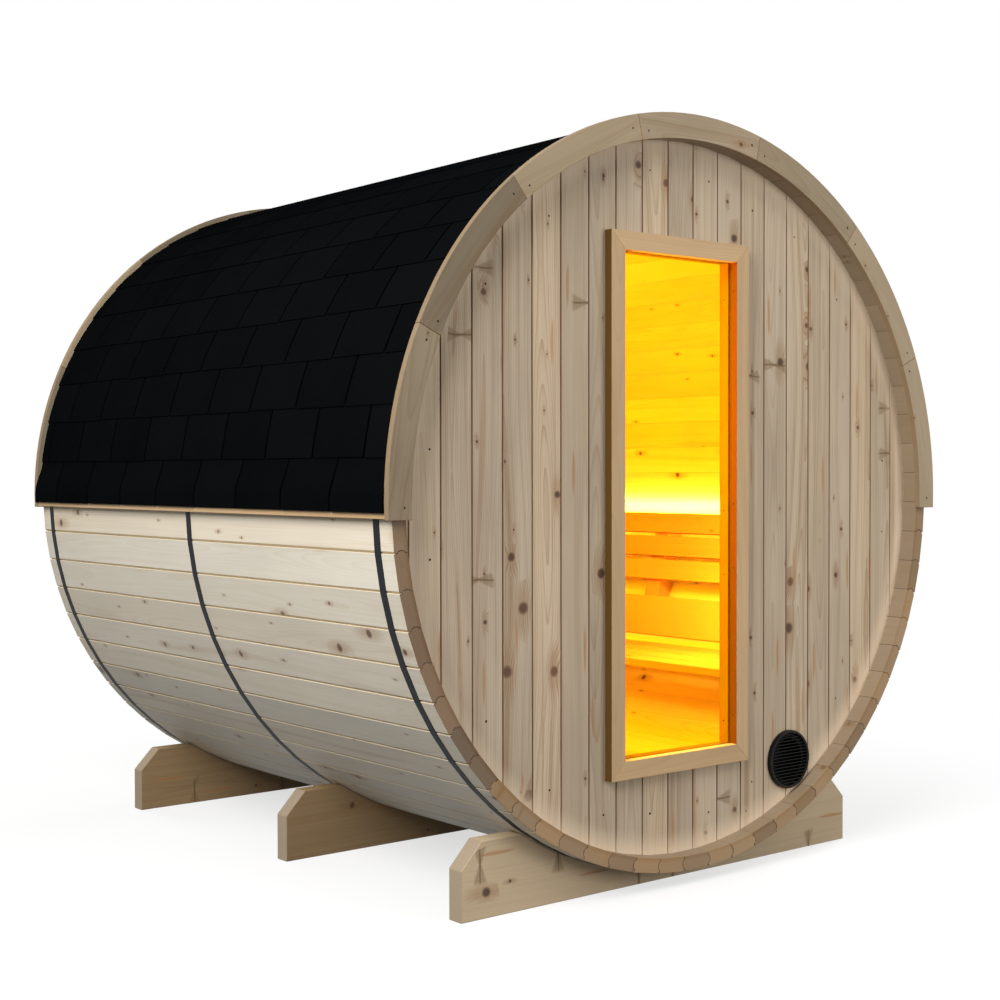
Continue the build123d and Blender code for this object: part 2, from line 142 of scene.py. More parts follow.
class SaunaColours(PropertyGroup):
    """Colours of the finishes."""

    stave: colour_property("Stave wood", "Sapwood of the staves", (208, 202, 188))
    stave_late: colour_property("Stave latewood", "Late growth in the staves", (176, 155, 124))
    wall: colour_property("Wall wood", "Sapwood of the end-wall boards", (192, 177, 155))
    wall_late: colour_property("Wall latewood", "Late growth in the end-wall boards", (140, 112, 83))
    trim: colour_property("Trim wood", "Sapwood of the trim", (198, 170, 133))
    trim_late: colour_property("Trim latewood", "Late growth in the trim", (166, 130, 88))
    fascia: colour_property("Fascia wood", "Sapwood of the fascia", (153, 139, 116))
    fascia_late: colour_property("Fascia latewood", "Late growth in the fascia", (128, 105, 80))
    # The stops' amber is partly the wood's colour and partly a painted glow of the room's warm light.
    stop: colour_property("Stop wood", "Amber varnish of the window stops", (160, 138, 28))
    stop_late: colour_property("Stop latewood", "Late growth in the window stops", (204, 106, 8))
    cradle: colour_property("Cradle wood", "Sapwood of the cradles", (196, 178, 150))
    cradle_late: colour_property("Cradle latewood", "Late growth in the cradles", (150, 118, 84))
    # Painted shade: a darker copy of the cradle wood, for the cradles in the shade under the barrel.
    damp: colour_property("Shaded wood", "Sapwood of the cradles under the barrel", (158, 134, 100))
    damp_late: colour_property("Shaded latewood", "Late growth in the cradles under the barrel", (122, 92, 62))
    bench: colour_property("Bench wood", "Sapwood of the bench", (200, 146, 98))
    bench_late: colour_property("Bench latewood", "Late growth in the bench", (170, 112, 68))
    knot: colour_property("Knot", "Heart of a knot", (70, 52, 40))
    # Painted light: the dark amber of the opening's sides is a painted glow of the room's light.
    reveal: colour_property("Reveal", "Dark amber sides of the window's opening", (118, 72, 5))
    stain: colour_property("Stain", "Dark edge of the window trim", (92, 66, 30))
    felt: colour_property("Felt", "Mineral granules on the shingles", (10, 11, 12))
    steel: colour_property("Steel", "Coating of the bands and hinges", (25, 27, 30))
    nail: colour_property("Nail", "Heads of the nails", (40, 34, 30))
    plastic: colour_property("Plastic", "Moulding of the vent", (15, 14, 12))


class SaunaLight(PropertyGroup):
    """Studio light and the sauna's own light."""

    key_power: power_property("Key", "large lamp on the left", 465)
    top_power: power_property("Top", "lamp high on the right", 52)
    front_power: power_property("Front", "lamp before the window", 113)
    rear_power: power_property("Rear", "lamp behind the door", 150)
    right_power: power_property("Right", "lamp on the right", 200)
    room_power: power_property("Room", "warm lamp in the room", 60)
    seat_power: power_property("Seat", "lamp over the seat", 11)
    low_power: power_property("Low", "lamp near the room's floor", 9)
    strip_power: power_property("Strip", "lamp at each strip", 12)
    world_level: FloatProperty(name="World", description="Level of even light from all sides", default=0.12)
    room_colour: FloatVectorProperty(
        name="Room colour", description="Colour of the lamp in the room", subtype="COLOR", size=3,
        default=(1.0, 0.38, 0.003),
    )
    strip_colour: FloatVectorProperty(
        name="Strip colour", description="Colour of the lamps at the strips", subtype="COLOR", size=3,
        default=(1.0, 0.85, 0.7),
    )
    lens: FloatProperty(name="Lens", description="Focal length of the camera in mm", default=58.0)


class Field:
    """A socket of a node tree. Python's operators on it add Math nodes."""

    def __init__(self, tree, socket):
        self.tree = tree
        self.socket = socket

    def math(self, operation, *values):
        """A Math node on these values."""
        return self.tree.add("ShaderNodeMath", {"operation": operation}, dict(enumerate(values)))

    def __add__(self, other):
        return self.math("ADD", self, other)

    def __radd__(self, other):
        return self.math("ADD", other, self)

    def __sub__(self, other):
        return self.math("SUBTRACT", self, other)

    def __rsub__(self, other):
        return self.math("SUBTRACT", other, self)

    def __mul__(self, other):
        return self.math("MULTIPLY", self, other)

    def __rmul__(self, other):
        return self.math("MULTIPLY", other, self)

    def __truediv__(self, other):
        return self.math("DIVIDE", self, other)

    def __rtruediv__(self, other):
        return self.math("DIVIDE", other, self)

    def __pow__(self, other):
        return self.math("POWER", self, other)

    def __mod__(self, other):
        return self.math("FLOORED_MODULO", self, other)

    def __floordiv__(self, other):
        return self.math("FLOOR", self / other)

    def smooth(self, low, high):
        """0 at low and 1 at high, eased between them."""
        sockets = {"Value": self, "From Min": low, "From Max": high}
        return self.tree.add("ShaderNodeMapRange", {"interpolation_type": "SMOOTHSTEP"}, sockets)


class Tree:
    """A node tree under construction."""

    def __init__(self, node_tree):
        self.node_tree = node_tree

    def add(self, kind, settings=None, sockets=None, output=0):
        """Add a node with its settings and its sockets' values or links, and give one of its outputs."""
        node = self.node_tree.nodes.new(kind)
        for name, value in (settings or {}).items():
            setattr(node, name, value)
        for key, value in (sockets or {}).items():
            for source in value if isinstance(value, list) else [value]:
                if isinstance(source, Field):
                    self.node_tree.links.new(source.socket, node.inputs[key])
                else:
                    node.inputs[key].default_value = source
        return Field(self, node.outputs[output]) if node.outputs else None

    def vector(self, across, along, through):
        """Three values as one vector."""
        return self.add("ShaderNodeCombineXYZ", None, {0: across, 1: along, 2: through})

    def parts(self, vector):
        """The three values of a vector."""
        return [self.add("ShaderNodeSeparateXYZ", None, {0: vector}, output) for output in range(3)]

    def mix(self, factor, first, second):
        """A colour between two colours."""
        return self.add("ShaderNodeMix", {"data_type": "RGBA"}, {0: factor, 6: first, 7: second}, 2)

    def scale(self, colour, value):
        """A colour made lighter or darker."""
        return self.add("ShaderNodeVectorMath", {"operation": "SCALE"}, {0: colour, "Scale": value})

    def noise(self, vector, scale, detail=2.0, output=0):
        """Soft noise from 0 to 1."""
        sockets = {"Vector": vector, "Scale": scale, "Detail": detail}
        return self.add("ShaderNodeTexNoise", None, sockets, output)

    def cells(self, vector, scale, *outputs):
        """Flat cells, each round a point of its own."""
        settings, sockets = {"voronoi_dimensions": "2D"}, {"Vector": vector, "Scale": scale}
        return [self.add("ShaderNodeTexVoronoi", settings, sockets, output) for output in outputs]

    def attribute(self, name, output="Fac"):
        """A value that the mesh carries."""
        return self.add("ShaderNodeAttribute", {"attribute_name": name}, None, output)

    def place(self):
        """The place on the piece, in metres."""
        return self.add("ShaderNodeTexCoord", None, None, "Object")

    def axis_distance(self):
        """Distance from the barrel's axis, and the place along it."""
        place_x, place_y, place_z = self.parts(self.place())
        rise = place_z - AXIS_Z
        return (place_x * place_x + rise * rise) ** 0.5, place_y

    def tint(self, factor, colour, display):
        """A colour mixed with a display colour."""
        return self.mix(factor, colour, opaque(paint(*display)))

    def bump(self, strength, distance, height):
        """A normal that follows a height."""
        sockets = {"Strength": strength, "Distance": distance, "Height": height}
        return self.add("ShaderNodeBump", None, sockets)

    def seen(self):
        """1 for rays from the camera and for those that gloss or glass sends on."""
        rays = ("Camera", "Glossy", "Transmission")
        camera, gloss, glass = (self.add("ShaderNodeLightPath", None, None, f"Is {ray} Ray") for ray in rays)
        return camera.math("MAXIMUM", camera, camera.math("MAXIMUM", gloss, glass))


def opaque(colour):
    """A colour with full alpha."""
    return (*colour, 1.0)


def new_material(name):
    """An empty material and its tree."""
    material = bpy.data.materials.new(name)
    material.use_nodes = True
    material.node_tree.nodes.clear()
    return material, Tree(material.node_tree)


def set_surface(tree, colour, roughness, gloss, normal, others=None):
    """Give a material its Principled shader."""
    sockets = {"Base Color": colour, "Roughness": roughness, "Specular IOR Level": gloss, "Normal": normal}
    shader = tree.add("ShaderNodeBsdfPrincipled", None, sockets | (others or {}))
    tree.add("ShaderNodeOutputMaterial", None, {"Surface": shader})


def wood(
    name, kind, knot_share=0.5, knot_reach=0.0085, knot_bias=2.2, figure=1.0, wisps=0.0, spindles=0.0,
    mottle=0.2, gloss=0.3, ends=(150, 118, 82), sides=None, seams=None, stain=None,
):
    """Spruce: rings of a log round each board's own pith, fibres, knots and spike knots."""
    colours = bpy.context.scene.sauna_colours
    pale, late = getattr(colours, kind), getattr(colours, f"{kind}_late")
    material, tree = new_material(name)
    grain = tree.attribute("grain", "Vector")
    tone = tree.attribute("tone")
    across, along, through = tree.parts(grain)

    # Knots: one in some of the cells that the board passes through, with a flare along the grain
    ripple = tree.noise(grain, 22.0) - 0.5
    knot_across, knot_along = across + ripple * 0.006, along + ripple * 0.009
    cell_colour, cell_place = tree.cells(tree.vector(knot_across, knot_along, 0.0), 6.4, "Color", "Position")
    cell_chance, cell_size, cell_kind = tree.parts(cell_colour)
    cell_across, cell_along, _ = tree.parts(cell_place)
    knotted = cell_chance.math("LESS_THAN", cell_chance, knot_share)
    knot_radius = 0.0022 + knot_reach * cell_size ** knot_bias
    off_across, off_along = (knot_across - cell_across) / knot_radius, (knot_along - cell_along) / knot_radius
    knot_distance = (off_across * off_across + off_along * off_along) ** 0.5
    flare_distance = (off_across * off_across + off_along * off_along * 0.12) ** 0.5
    core = (1 - knot_distance.smooth(0.65, 1.1)) * knotted
    rim = (1 - knot_distance.smooth(0.95, 1.5)) * knotted
    halo = (1 - flare_distance.smooth(0.6, 3.0)) * knotted

    # Spike knots: short brown wisps across a few boards
    wisp_along = knot_along + 3
    cell_colour, cell_place = tree.cells(tree.vector(knot_across, wisp_along, 0.0), 8.0, "Color", "Position")
    cell_across, cell_along, _ = tree.parts(cell_place)
    wisp_chance = tree.parts(cell_colour)[0]
    wisp_reach = across.math("ABSOLUTE", knot_across - cell_across)
    wisp_rise = across.math("ABSOLUTE", wisp_along - cell_along)
    wisped = wisp_chance.math("LESS_THAN", wisp_chance, wisps) * (1 - wisp_reach.smooth(0.04, 0.055))
    wisp = (1 - (wisp_rise / (0.004 + wisp_reach * 0.45)).smooth(0.6, 1.1)) * wisped
    wisp_core = (1 - wisp_rise.smooth(0.0008, 0.0035)) * wisped

    # Spindles: long narrow orange streaks of resin
    strands = tree.vector(across * 50 + ripple * 0.2, along * 4.2, 0.0)
    cell_colour, spindle_distance = tree.cells(strands, 1.0, "Color", "Distance")
    spindle_chance = tree.parts(cell_colour)[0]
    spindle_grows = spindle_chance.math("LESS_THAN", spindle_chance, spindles)
    spindle = (1 - spindle_distance.smooth(0.16, 0.3)) * spindle_grows

    # Growth rings: distance from the pith, which wanders along the log
    drift = tree.vector(across * 0.6, along * 0.75, through * 0.6)
    drift_across, drift_through, drift_ring = tree.parts(tree.noise(drift, 1.0, 1.0, "Color"))
    ring_across = across + (drift_across - 0.5) * 0.13
    ring_through = through + (drift_through - 0.5) * 0.1
    radius = (ring_across * ring_across + ring_through * ring_through) ** 0.5
    radius = radius + halo * 0.011 + ripple * 0.0016
    ring = ((radius / 0.0052 + drift_ring * 3) % 1.0) ** 4.0
    broad_ring = tree.noise(tree.vector(radius * 72, along * 0.4, tone * 31), 1.0, 2.0).smooth(0.38, 0.72)
    pith = 1 - radius.smooth(0.004, 0.013)
    fibre = tree.noise(tree.vector(across * 210, along * 2.6, through * 210), 1.0, 4.0).smooth(0.3, 0.75)
    streak = tree.noise(tree.vector(across * 60, along * 0.9, through * 60), 1.0, 3.0).smooth(0.52, 0.74)
    cloud = tree.noise(tree.vector(across * 7, along * 2.2, through * 7), 1.0, 3.0)

    figured = (0.55 + (tone * 5) % 1.0 * 0.8) * figure
    late_share = (ring * (0.42 + halo * 0.5) + broad_ring * 0.3 + streak * 0.24 + fibre * 0.16) * figured
    warm = opaque((pale[0], pale[1] * 0.96, pale[2] * 0.91))
    colour = tree.mix((tone * 3) % 1.0, opaque(pale), warm)
    colour = tree.mix(late_share, colour, opaque(late))
    for share, display in (
        (pith * 0.45 * figure, (144, 108, 72)),
        (halo * 0.42, (140, 104, 70)),
        (spindle * 0.6, (168, 118, 70)),
        (wisp * 0.55, (128, 104, 74)),
        (wisp_core * 0.7, (98, 74, 50)),
        (rim * 0.7, (98, 72, 52)),
    ):
        colour = tree.tint(share, colour, display)
    knot_colour = tree.tint(cell_kind.smooth(0.35, 0.9), opaque(colours.knot), (100, 70, 48))
    knot_ring = ((knot_distance * 4 + cell_kind) % 1.0).smooth(0.5, 1.0)
    knot_colour = tree.scale(knot_colour, 1.1 - knot_ring * 0.3)
    colour = tree.mix(core * 0.9, colour, knot_colour)
    colour = tree.scale(colour, 1.0 + (tone - 0.6) * mottle + (cloud - 0.5) * min(mottle, 0.3) * 1.3)
    # Side faces take their own colour: paler on the staves' chamfers, a painted highlight; darker on the
    # fascia's outer edge, a painted shade; dark brown in the grooves of the wall and door boards.
    if sides:
        colour = tree.tint(tree.attribute("side_grain") * 0.8, colour, sides)
    if stain:
        colour = stain(tree, colour)
    end_colour = tree.tint((tone * 7) % 1.0, opaque(paint(*ends)), (ends[0], ends[1] + 4, ends[2] + 10))
    end_colour = tree.scale(end_colour, 0.72 + tone * 0.5 - ring * 0.2)
    colour = tree.mix(tree.attribute("end_grain") * 0.9, colour, end_colour)
    # Painted shade: the eased faces at a board's ends are darkened, a painted shade in the joints between
    # boards.
    if seams:
        colour = tree.tint(tree.attribute("seam") * 0.85, colour, seams)
    roughness = 0.56 + fibre * 0.14 - core * 0.14
    normal = tree.bump(0.35, 0.0006, fibre * 0.5 + ring * 0.25 - rim * 0.4)
    set_surface(tree, colour, roughness, gloss, normal)
    return material


def window_stain_and_glow(tree, colour):
    """The window trim is stained dark brown on its outer sides; round the opening it is painted amber, a
    painted glow of the lit room.
    """
    colours = bpy.context.scene.sauna_colours
    low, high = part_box("window_trim")
    place = tree.parts(tree.place())
    normal = tree.parts(tree.add("ShaderNodeNewGeometry", None, None, "Normal"))
    out_x = (place[0] - (low.x + high.x) / 2) / (high.x - low.x) * 2 * normal[0]
    out_z = (place[2] - (low.z + high.z) / 2) / (high.z - low.z) * 2 * normal[2]
    colour = tree.mix(out_x.smooth(0.6, 0.9), colour, opaque(colours.stain))
    # Painted light: the faces round the opening take the stops' amber, paler on top and bottom, and the sides
    # a dark amber; both stand for the room's light through the glass.
    inner = lit_sill(tree, opaque(colours.stop))
    colour = tree.mix((out_z * -1).smooth(0.55, 0.7), colour, inner)
    return tree.mix((out_x * -1).smooth(0.55, 0.7), colour, opaque(colours.reveal))


def lit_sill(tree, colour):
    """Paler on the faces that look up or down into the lit opening."""
    rise = tree.parts(tree.add("ShaderNodeNewGeometry", None, None, "Normal"))[2]
    return tree.tint(rise.math("ABSOLUTE", rise).smooth(0.5, 0.8), colour, (246, 214, 120))


def stave_lip(tree, colour):
    """The staves are oiled brown inside their ends, beyond the end walls."""
    radius, along = tree.axis_distance()
    lip = along.math("ABSOLUTE", along).smooth(REAR_WALL_HIGH.y - 0.002, REAR_WALL_HIGH.y + 0.004)
    inside = 1 - radius.smooth(WALL_RADIUS - 0.003, WALL_RADIUS + 0.008)
    oiled = tree.tint(0.6, tree.scale(colour, 0.55), (140, 112, 76))
    oiled = tree.tint(tree.attribute("side_grain") * 0.8, oiled, (70, 52, 36))
    return tree.mix(lip * inside, colour, oiled)


def painted_rim_glow(tree, colour):
    """Painted light: paler towards the stave ends, a painted glow along the rim of the wall."""
    radius, _ = tree.axis_distance()
    return tree.tint(radius.smooth(WALL_RADIUS - 0.075, WALL_RADIUS) * 0.6, colour, (238, 216, 188))


def felt(name):
    """Shingle felt: matt black mineral granules, each tab a little different."""
    material, tree = new_material(name)
    place = tree.place()
    granule = tree.noise(place, 900.0, 1.0).smooth(0.35, 0.7)
    patch = tree.noise(place, 5.0, 3.0)
    level = 0.66 + tree.attribute("tone") * 0.26 + granule * 0.5 + (patch - 0.5) * 0.4
    colour = tree.scale(bpy.context.scene.sauna_colours.felt, level)
    set_surface(tree, colour, 0.9 + granule * 0.1, 0.0, tree.bump(0.5, 0.0008, granule))
    return material


def steel(name, display, wear=0.08):
    """Coated steel with a faint mottle and rubbed spots."""
    material, tree = new_material(name)
    place = tree.place()
    mottle = tree.noise(place, 60.0, 3.0)
    rubbed = tree.noise(place, 14.0, 5.0).smooth(0.6, 0.75) * wear
    colour = tree.tint(rubbed, tree.scale(display, 0.8 + mottle * 0.4), (120, 120, 118))
    normal = tree.bump(0.15, 0.0004, mottle)
    set_surface(tree, colour, 0.5 + mottle * 0.2, 0.15, normal, {"Metallic": rubbed})
    return material


def plastic(name):
    """Black moulded plastic with a fine texture."""
    material, tree = new_material(name)
    place = tree.place()
    texture = tree.noise(place, 700.0, 2.0)
    dust = tree.noise(place, 30.0, 4.0).smooth(0.55, 0.8)
    colour = tree.tint(dust * 0.03, opaque(bpy.context.scene.sauna_colours.plastic), (120, 116, 110))
    set_surface(tree, colour, 0.14 + dust * 0.2, 0.16, tree.bump(0.1, 0.0003, texture))
    return material


def window_pane(name):
    """Bronze-tinted glass with faint smears."""
    material, tree = new_material(name)
    smear = tree.noise(tree.place(), 9.0, 5.0).smooth(0.5, 0.8)
    clear = tree.add("ShaderNodeBsdfTransparent", None, {"Color": (1.0, 0.94, 0.25, 1.0)})
    sockets = {"Base Color": opaque(paint(64, 70, 62)), "Roughness": 0.04 + smear * 0.08}
    film = tree.add("ShaderNodeBsdfPrincipled", None, sockets)
    surface = tree.add("ShaderNodeMixShader", None, {0: 0.015 + smear * 0.02, 1: clear, 2: film})
    tree.add("ShaderNodeOutputMaterial", None, {"Surface": surface})
    return material


def glow(name):
    """Diffuser of a light strip, brighter along its middle."""
    material, tree = new_material(name)
    spot = (tree.parts(tree.place())[1] / 0.0167) % 1.0
    level = 0.75 + 0.25 * (1 - (spot - 0.5) * (spot - 0.5) * 4)
    sockets = {
        "Base Color": opaque(paint(250, 240, 214)),
        "Roughness": 0.5,
        "Emission Color": tree.scale((1.0, 0.86, 0.5), level),
        "Emission Strength": bpy.context.scene.sauna_light.strip_power * 0.25,
    }
    shader = tree.add("ShaderNodeBsdfPrincipled", None, sockets)
    tree.add("ShaderNodeOutputMaterial", None, {"Surface": shader})
    return material


def loose_parts(count, edges):
    """Number of the loose part that each point belongs to."""
    parts = np.arange(count)
    while True:
        before = parts.copy()
        low = np.minimum(parts[edges[:, 0]], parts[edges[:, 1]])
        np.minimum.at(parts, edges[:, 0], low)
        np.minimum.at(parts, edges[:, 1], low)
        parts = parts[parts]
        if (parts == before).all():
            return parts


def read(collection, name, width, kind=np.float64):
    """Values of a mesh collection as an array."""
    values = np.empty(len(collection) * width, kind)
    collection.foreach_get(name, values)
    return values.reshape(-1, width)


def lay_grain(mesh, seed, row=None):
    """Give every board its grain, tone, ends, sides and seams; boards in a row are told apart by place."""
    points = read(mesh.vertices, "co", 3)
    boards = loose_parts(len(points), read(mesh.edges, "vertices", 2, np.int32))
    starts = read(mesh.polygons, "loop_start", 1, np.int32)[:, 0]
    corners = read(mesh.loops, "vertex_index", 1, np.int32)[:, 0]
    normals = read(mesh.polygons, "normal", 3)
    face_boards = boards[corners[starts]]
    grain = np.zeros_like(points)
    tone = np.zeros(len(points))
    ends, sides, seams = np.zeros((3, len(normals)))
    for number, board in enumerate(np.unique(boards)):
        mine = boards == board
        spread = points[mine]
        middle = (spread.min(0) + spread.max(0)) / 2
        if row:
            first, cover, depth = row
            number = int(round((middle[0] - first) / cover))
            middle = np.array((first + number * cover, depth, AXIS_Z))
            axes = np.array(((0.0, 0.0, 1.0), (1.0, 0.0, 0.0), (0.0, 1.0, 0.0)))
        else:
            axes = np.linalg.svd(spread - spread.mean(0), full_matrices=False)[2]
        draw = np.random.default_rng((seed, number + 100))
        along, across, through = axes @ (spread - middle).T
        log_place = draw.uniform((-0.05, 0.0, 0.0), (0.05, 40.0, 0.09))
        grain[mine] = np.column_stack((across, along, through)) + log_place
        tone[mine] = draw.uniform()
        faces = face_boards == board
        facing_along, facing_across, facing_through = np.abs(axes @ normals[faces].T)
        ends[faces] = facing_along > 0.3
        seams[faces] = (facing_along > 0.3) & (facing_along < 0.95) & (facing_across > 0.2)
        sides[faces] = (facing_through < 0.9) & (facing_along <= 0.3)
    mesh.attributes.new("grain", "FLOAT_VECTOR", "POINT").data.foreach_set("vector", grain.ravel())
    mesh.attributes.new("tone", "FLOAT", "POINT").data.foreach_set("value", tone)
    for name, values in (("end_grain", ends), ("side_grain", sides), ("seam", seams)):
        mesh.attributes.new(name, "FLOAT", "FACE").data.foreach_set("value", values)


def smooth_arcs(mesh):
    """Shade arcs smooth and leave edges sharp."""
    mesh.polygons.foreach_set("use_smooth", np.ones(len(mesh.polygons), bool))
    mesh.set_sharp_from_angle(angle=SMOOTH_ANGLE)


def merged(node):
    """A CAD node's shape with its triangles joined into flat faces."""
    shape = bmesh.new()
    shape.from_mesh(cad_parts[node].data)
    bmesh.ops.remove_doubles(shape, verts=shape.verts, dist=MERGE_DISTANCE)
    bmesh.ops.dissolve_limit(shape, angle_limit=FLAT_ANGLE, verts=shape.verts, edges=shape.edges)
    return shape


def mesh_of(shape, name):
    """A mesh from a bmesh shape."""
    mesh = bpy.data.meshes.new(name)
    shape.to_mesh(mesh)
    shape.free()
    return mesh


def finish(name, mesh, nodes=(), material=None):
    """A finished piece on the barrel, in place of the CAD nodes that it stands for."""
    if material:
        mesh.materials.clear()
        mesh.materials.append(material)
    piece = bpy.data.objects.new(name, mesh)
    bpy.context.scene.collection.objects.link(piece)
    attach(piece, BODY)
    if nodes:
        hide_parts(*nodes)
    return piece


def loose_groups(shape):
    """Corners of each loose part of a shape."""
    left = set(shape.verts)
    while left:
        group, front = set(), [left.pop()]
        while front:
            corner = front.pop()
            group.add(corner)
            near = {line.other_vert(corner) for line in corner.link_edges} & left
            left -= near
            front += near
        yield group


def axis_angle(corner):
    """Angle of a corner about the barrel's axis, from 0 up to a full turn."""
    return math.atan2(corner.co.z - AXIS_Z, corner.co.x) % math.tau


def bead_upward(stave, low, high):
    """Turn the beads of the left-hand staves up; the lowest stave has two beads and the first left one none.

    Returns -1 for a stave on the left, 1 on the right and 0 for the lowest one.
    """
    pitch = math.tau / bpy.context.scene.sauna_boards.stave_count
    middle = (low + high) / 2
    lowest = abs(middle - math.pi * 1.5) < pitch / 2
    first_left = 0 < middle - math.pi / 2 < pitch
    left = math.pi / 2 + pitch < middle < math.pi * 1.5 - pitch / 2
    odd = round(middle / pitch) % 2
    for corner in stave:
        if odd and abs(corner.co.y) > STAVE_HIGH.y - MERGE_DISTANCE:
            corner.co.y -= math.copysign(STAVE_STRAY, corner.co.y)
        angle = axis_angle(corner)
        if left:
            turned = low + high - angle
        elif lowest and angle < middle:
            turned = 2 * low - angle
        elif first_left and angle > middle:
            turned = 2 * high - angle
        else:
            continue
        corner.co.x, corner.co.z = arc_point(math.hypot(corner.co.x, corner.co.z - AXIS_Z), turned)
    if lowest:
        return 0
    return -1 if left or first_left else 1


def beaded(shape):
    """Turn the beads of the left-hand staves up and chamfer each stave's outer edge beside its bead."""
    chamfered = []
    shape.edges.index_update()
    for stave in loose_groups(shape):
        outer = [corner for corner in stave if math.hypot(corner.co.x, corner.co.z - AXIS_Z) > BARREL_RADIUS]
        turns = {corner: axis_angle(corner) for corner in outer}
        if max(turns.values()) - min(turns.values()) > math.pi:
            turns = {corner: turn + math.tau * (turn < math.pi) for corner, turn in turns.items()}
        low, high = min(turns.values()), max(turns.values())
        side = bead_upward(stave, low, high)
        for line in {line for corner in outer for line in corner.link_edges if line.calc_length() > 1}:
            if line.verts[0] in turns and line.verts[1] in turns:
                upper = turns[line.verts[0]] > (low + high) / 2
                if side == 0 or upper == (side > 0):
                    chamfered.append(line)
    bmesh.ops.recalc_face_normals(shape, faces=shape.faces)
    chamfered.sort(key=lambda line: line.index)
    chamfer = bpy.context.scene.sauna_boards.stave_chamfer
    bmesh.ops.bevel(shape, geom=chamfered, offset=chamfer, segments=1, profile=0.5, affect="EDGES")


def set_back(shape):
    """Plane the outward face of a fascia down by the height of a nail head."""
    stand = bpy.context.scene.sauna_boards.nail_stand
    reach = max(abs(corner.co.y) for corner in shape.verts)
    for corner in shape.verts:
        if abs(corner.co.y) > reach - MERGE_DISTANCE:
            corner.co.y -= math.copysign(stand, corner.co.y)


def planed(node, edge, material, seed, reshape=None):
    """A CAD node's boards with eased edges and grain, as a piece that stands for the node."""
    shape = merged(node)
    if reshape:
        reshape(shape)
    sharp = [line for line in shape.edges if line.is_manifold and line.calc_face_angle() > EASED_ANGLE]
    bmesh.ops.bevel(
        shape, geom=sharp, offset=edge, segments=2, profile=0.5, affect="EDGES", clamp_overlap=True
    )
    mesh = mesh_of(shape, f"{node}_planed")
    lay_grain(mesh, seed)
    smooth_arcs(mesh)
    return finish(f"{node}_planed", mesh, (node,), material)


def dress(node, material):
    """A better material on a CAD node that keeps its shape."""
    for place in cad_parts[node].material_slots:
        place.material = material


def new_growth(name, inputs):
    """A Geometry Nodes tree with named inputs, and a field for each."""
    node_tree = bpy.data.node_groups.new(name, "GeometryNodeTree")
    for label, kind in inputs.items():
        node_tree.interface.new_socket(label, in_out="INPUT", socket_type=f"NodeSocket{kind}")
    node_tree.interface.new_socket("Geometry", in_out="OUTPUT", socket_type="NodeSocketGeometry")
    tree = Tree(node_tree)
    entry = node_tree.nodes.new("NodeGroupInput")
    return tree, {socket.name: Field(tree, socket) for socket in entry.outputs if socket.name}


def end_growth(tree, instances, material):
    """Realize a tree's instances, set their material and end the tree."""
    real = tree.add("GeometryNodeRealizeInstances", None, {"Geometry": instances})
    finished = tree.add("GeometryNodeSetMaterial", None, {"Geometry": real, "Material": material})
    tree.add("NodeGroupOutput", None, {0: finished})
    return tree.node_tree


def grow(node_tree, inputs, mesh=None):
    """The plain mesh that a Geometry Nodes tree makes from its inputs; a mesh among them is repeated."""
    host = bpy.data.objects.new("growth", mesh or bpy.data.meshes.new("growth"))
    patterns = [host]
    modifier = host.modifiers.new("Growth", "NODES")
    modifier.node_group = node_tree
    for item in node_tree.interface.items_tree:
        if item.in_out == "INPUT" and item.name in inputs:
            value = inputs[item.name]
            if isinstance(value, bpy.types.Mesh):
                value = bpy.data.objects.new(value.name, value)
                patterns.append(value)
            modifier[item.identifier] = value
    for pattern in patterns:
        bpy.context.scene.collection.objects.link(pattern)
    graph = bpy.context.evaluated_depsgraph_get()
    grown = bpy.data.meshes.new_from_object(host.evaluated_get(graph), depsgraph=graph)
    for pattern in patterns:
        bpy.data.objects.remove(pattern)
    return grown


def scatter(tree, points, pattern, sockets=None):
    """Copies of an object at points."""
    copy = tree.add("GeometryNodeObjectInfo", None, {"Object": pattern}, "Geometry")
    layout = {"Points": points, "Instance": copy} | (sockets or {})
    return tree.add("GeometryNodeInstanceOnPoints", None, layout)


def loft(rings, name, closed=False):
    """A mesh through rings of points, capped at both ends or closed on itself."""
    shape = bmesh.new()
    rings = [[shape.verts.new(point) for point in ring] for ring in rings]
    following = rings[1:] + rings[:1] if closed else rings[1:]
    for lower, upper in zip(rings, following):
        for place in range(len(lower)):
            after = (place + 1) % len(lower)
            shape.faces.new((lower[place], lower[after], upper[after], upper[place]))
    if not closed:
        shape.faces.new(rings[0])
        shape.faces.new(rings[-1])
    bmesh.ops.recalc_face_normals(shape, faces=shape.faces)
    return mesh_of(shape, name)


def prism(outline, low, high, name):
    """A closed prism along Z with an outline in X and Y."""
    return loft([[(x, y, z) for x, y in outline] for z in (low, high)], name)


def circle(sides):
    """Cosine and sine of each corner of a circle."""
    turns = [math.tau * place / sides for place in range(sides)]
    return [(math.cos(turn), math.sin(turn)) for turn in turns]


def board_outline(cover, front, back):
    """Section of a tongue-and-groove board with a groove at each joint on both faces."""
    boards = bpy.context.scene.sauna_boards
    spare = inner = (back - front) / 8
    slope = boards.groove_width * (1 + spare / boards.groove_depth)
    gap = 0.0002
    half, middle, tongue = cover / 2, (front + back) / 2, boards.tongue
    front_in, back_in = front + boards.groove_depth, back - boards.groove_depth
    return [
        (-half + slope, front - spare),
        (half - slope, front - spare),
        (half - gap, front_in),
        (half - gap, middle - inner),
        (half + tongue, middle - inner),
        (half + tongue, middle + inner),
        (half - gap, middle + inner),
        (half - gap, back_in),
        (half - slope, back + spare),
        (-half + slope, back + spare),
        (-half + gap, back_in),
        (-half + gap, middle + inner + gap),
        (-half + tongue + 2 * gap, middle + inner + gap),
        (-half + tongue + 2 * gap, middle - inner - gap),
        (-half + gap, middle - inner - gap),
        (-half + gap, front_in),
    ]


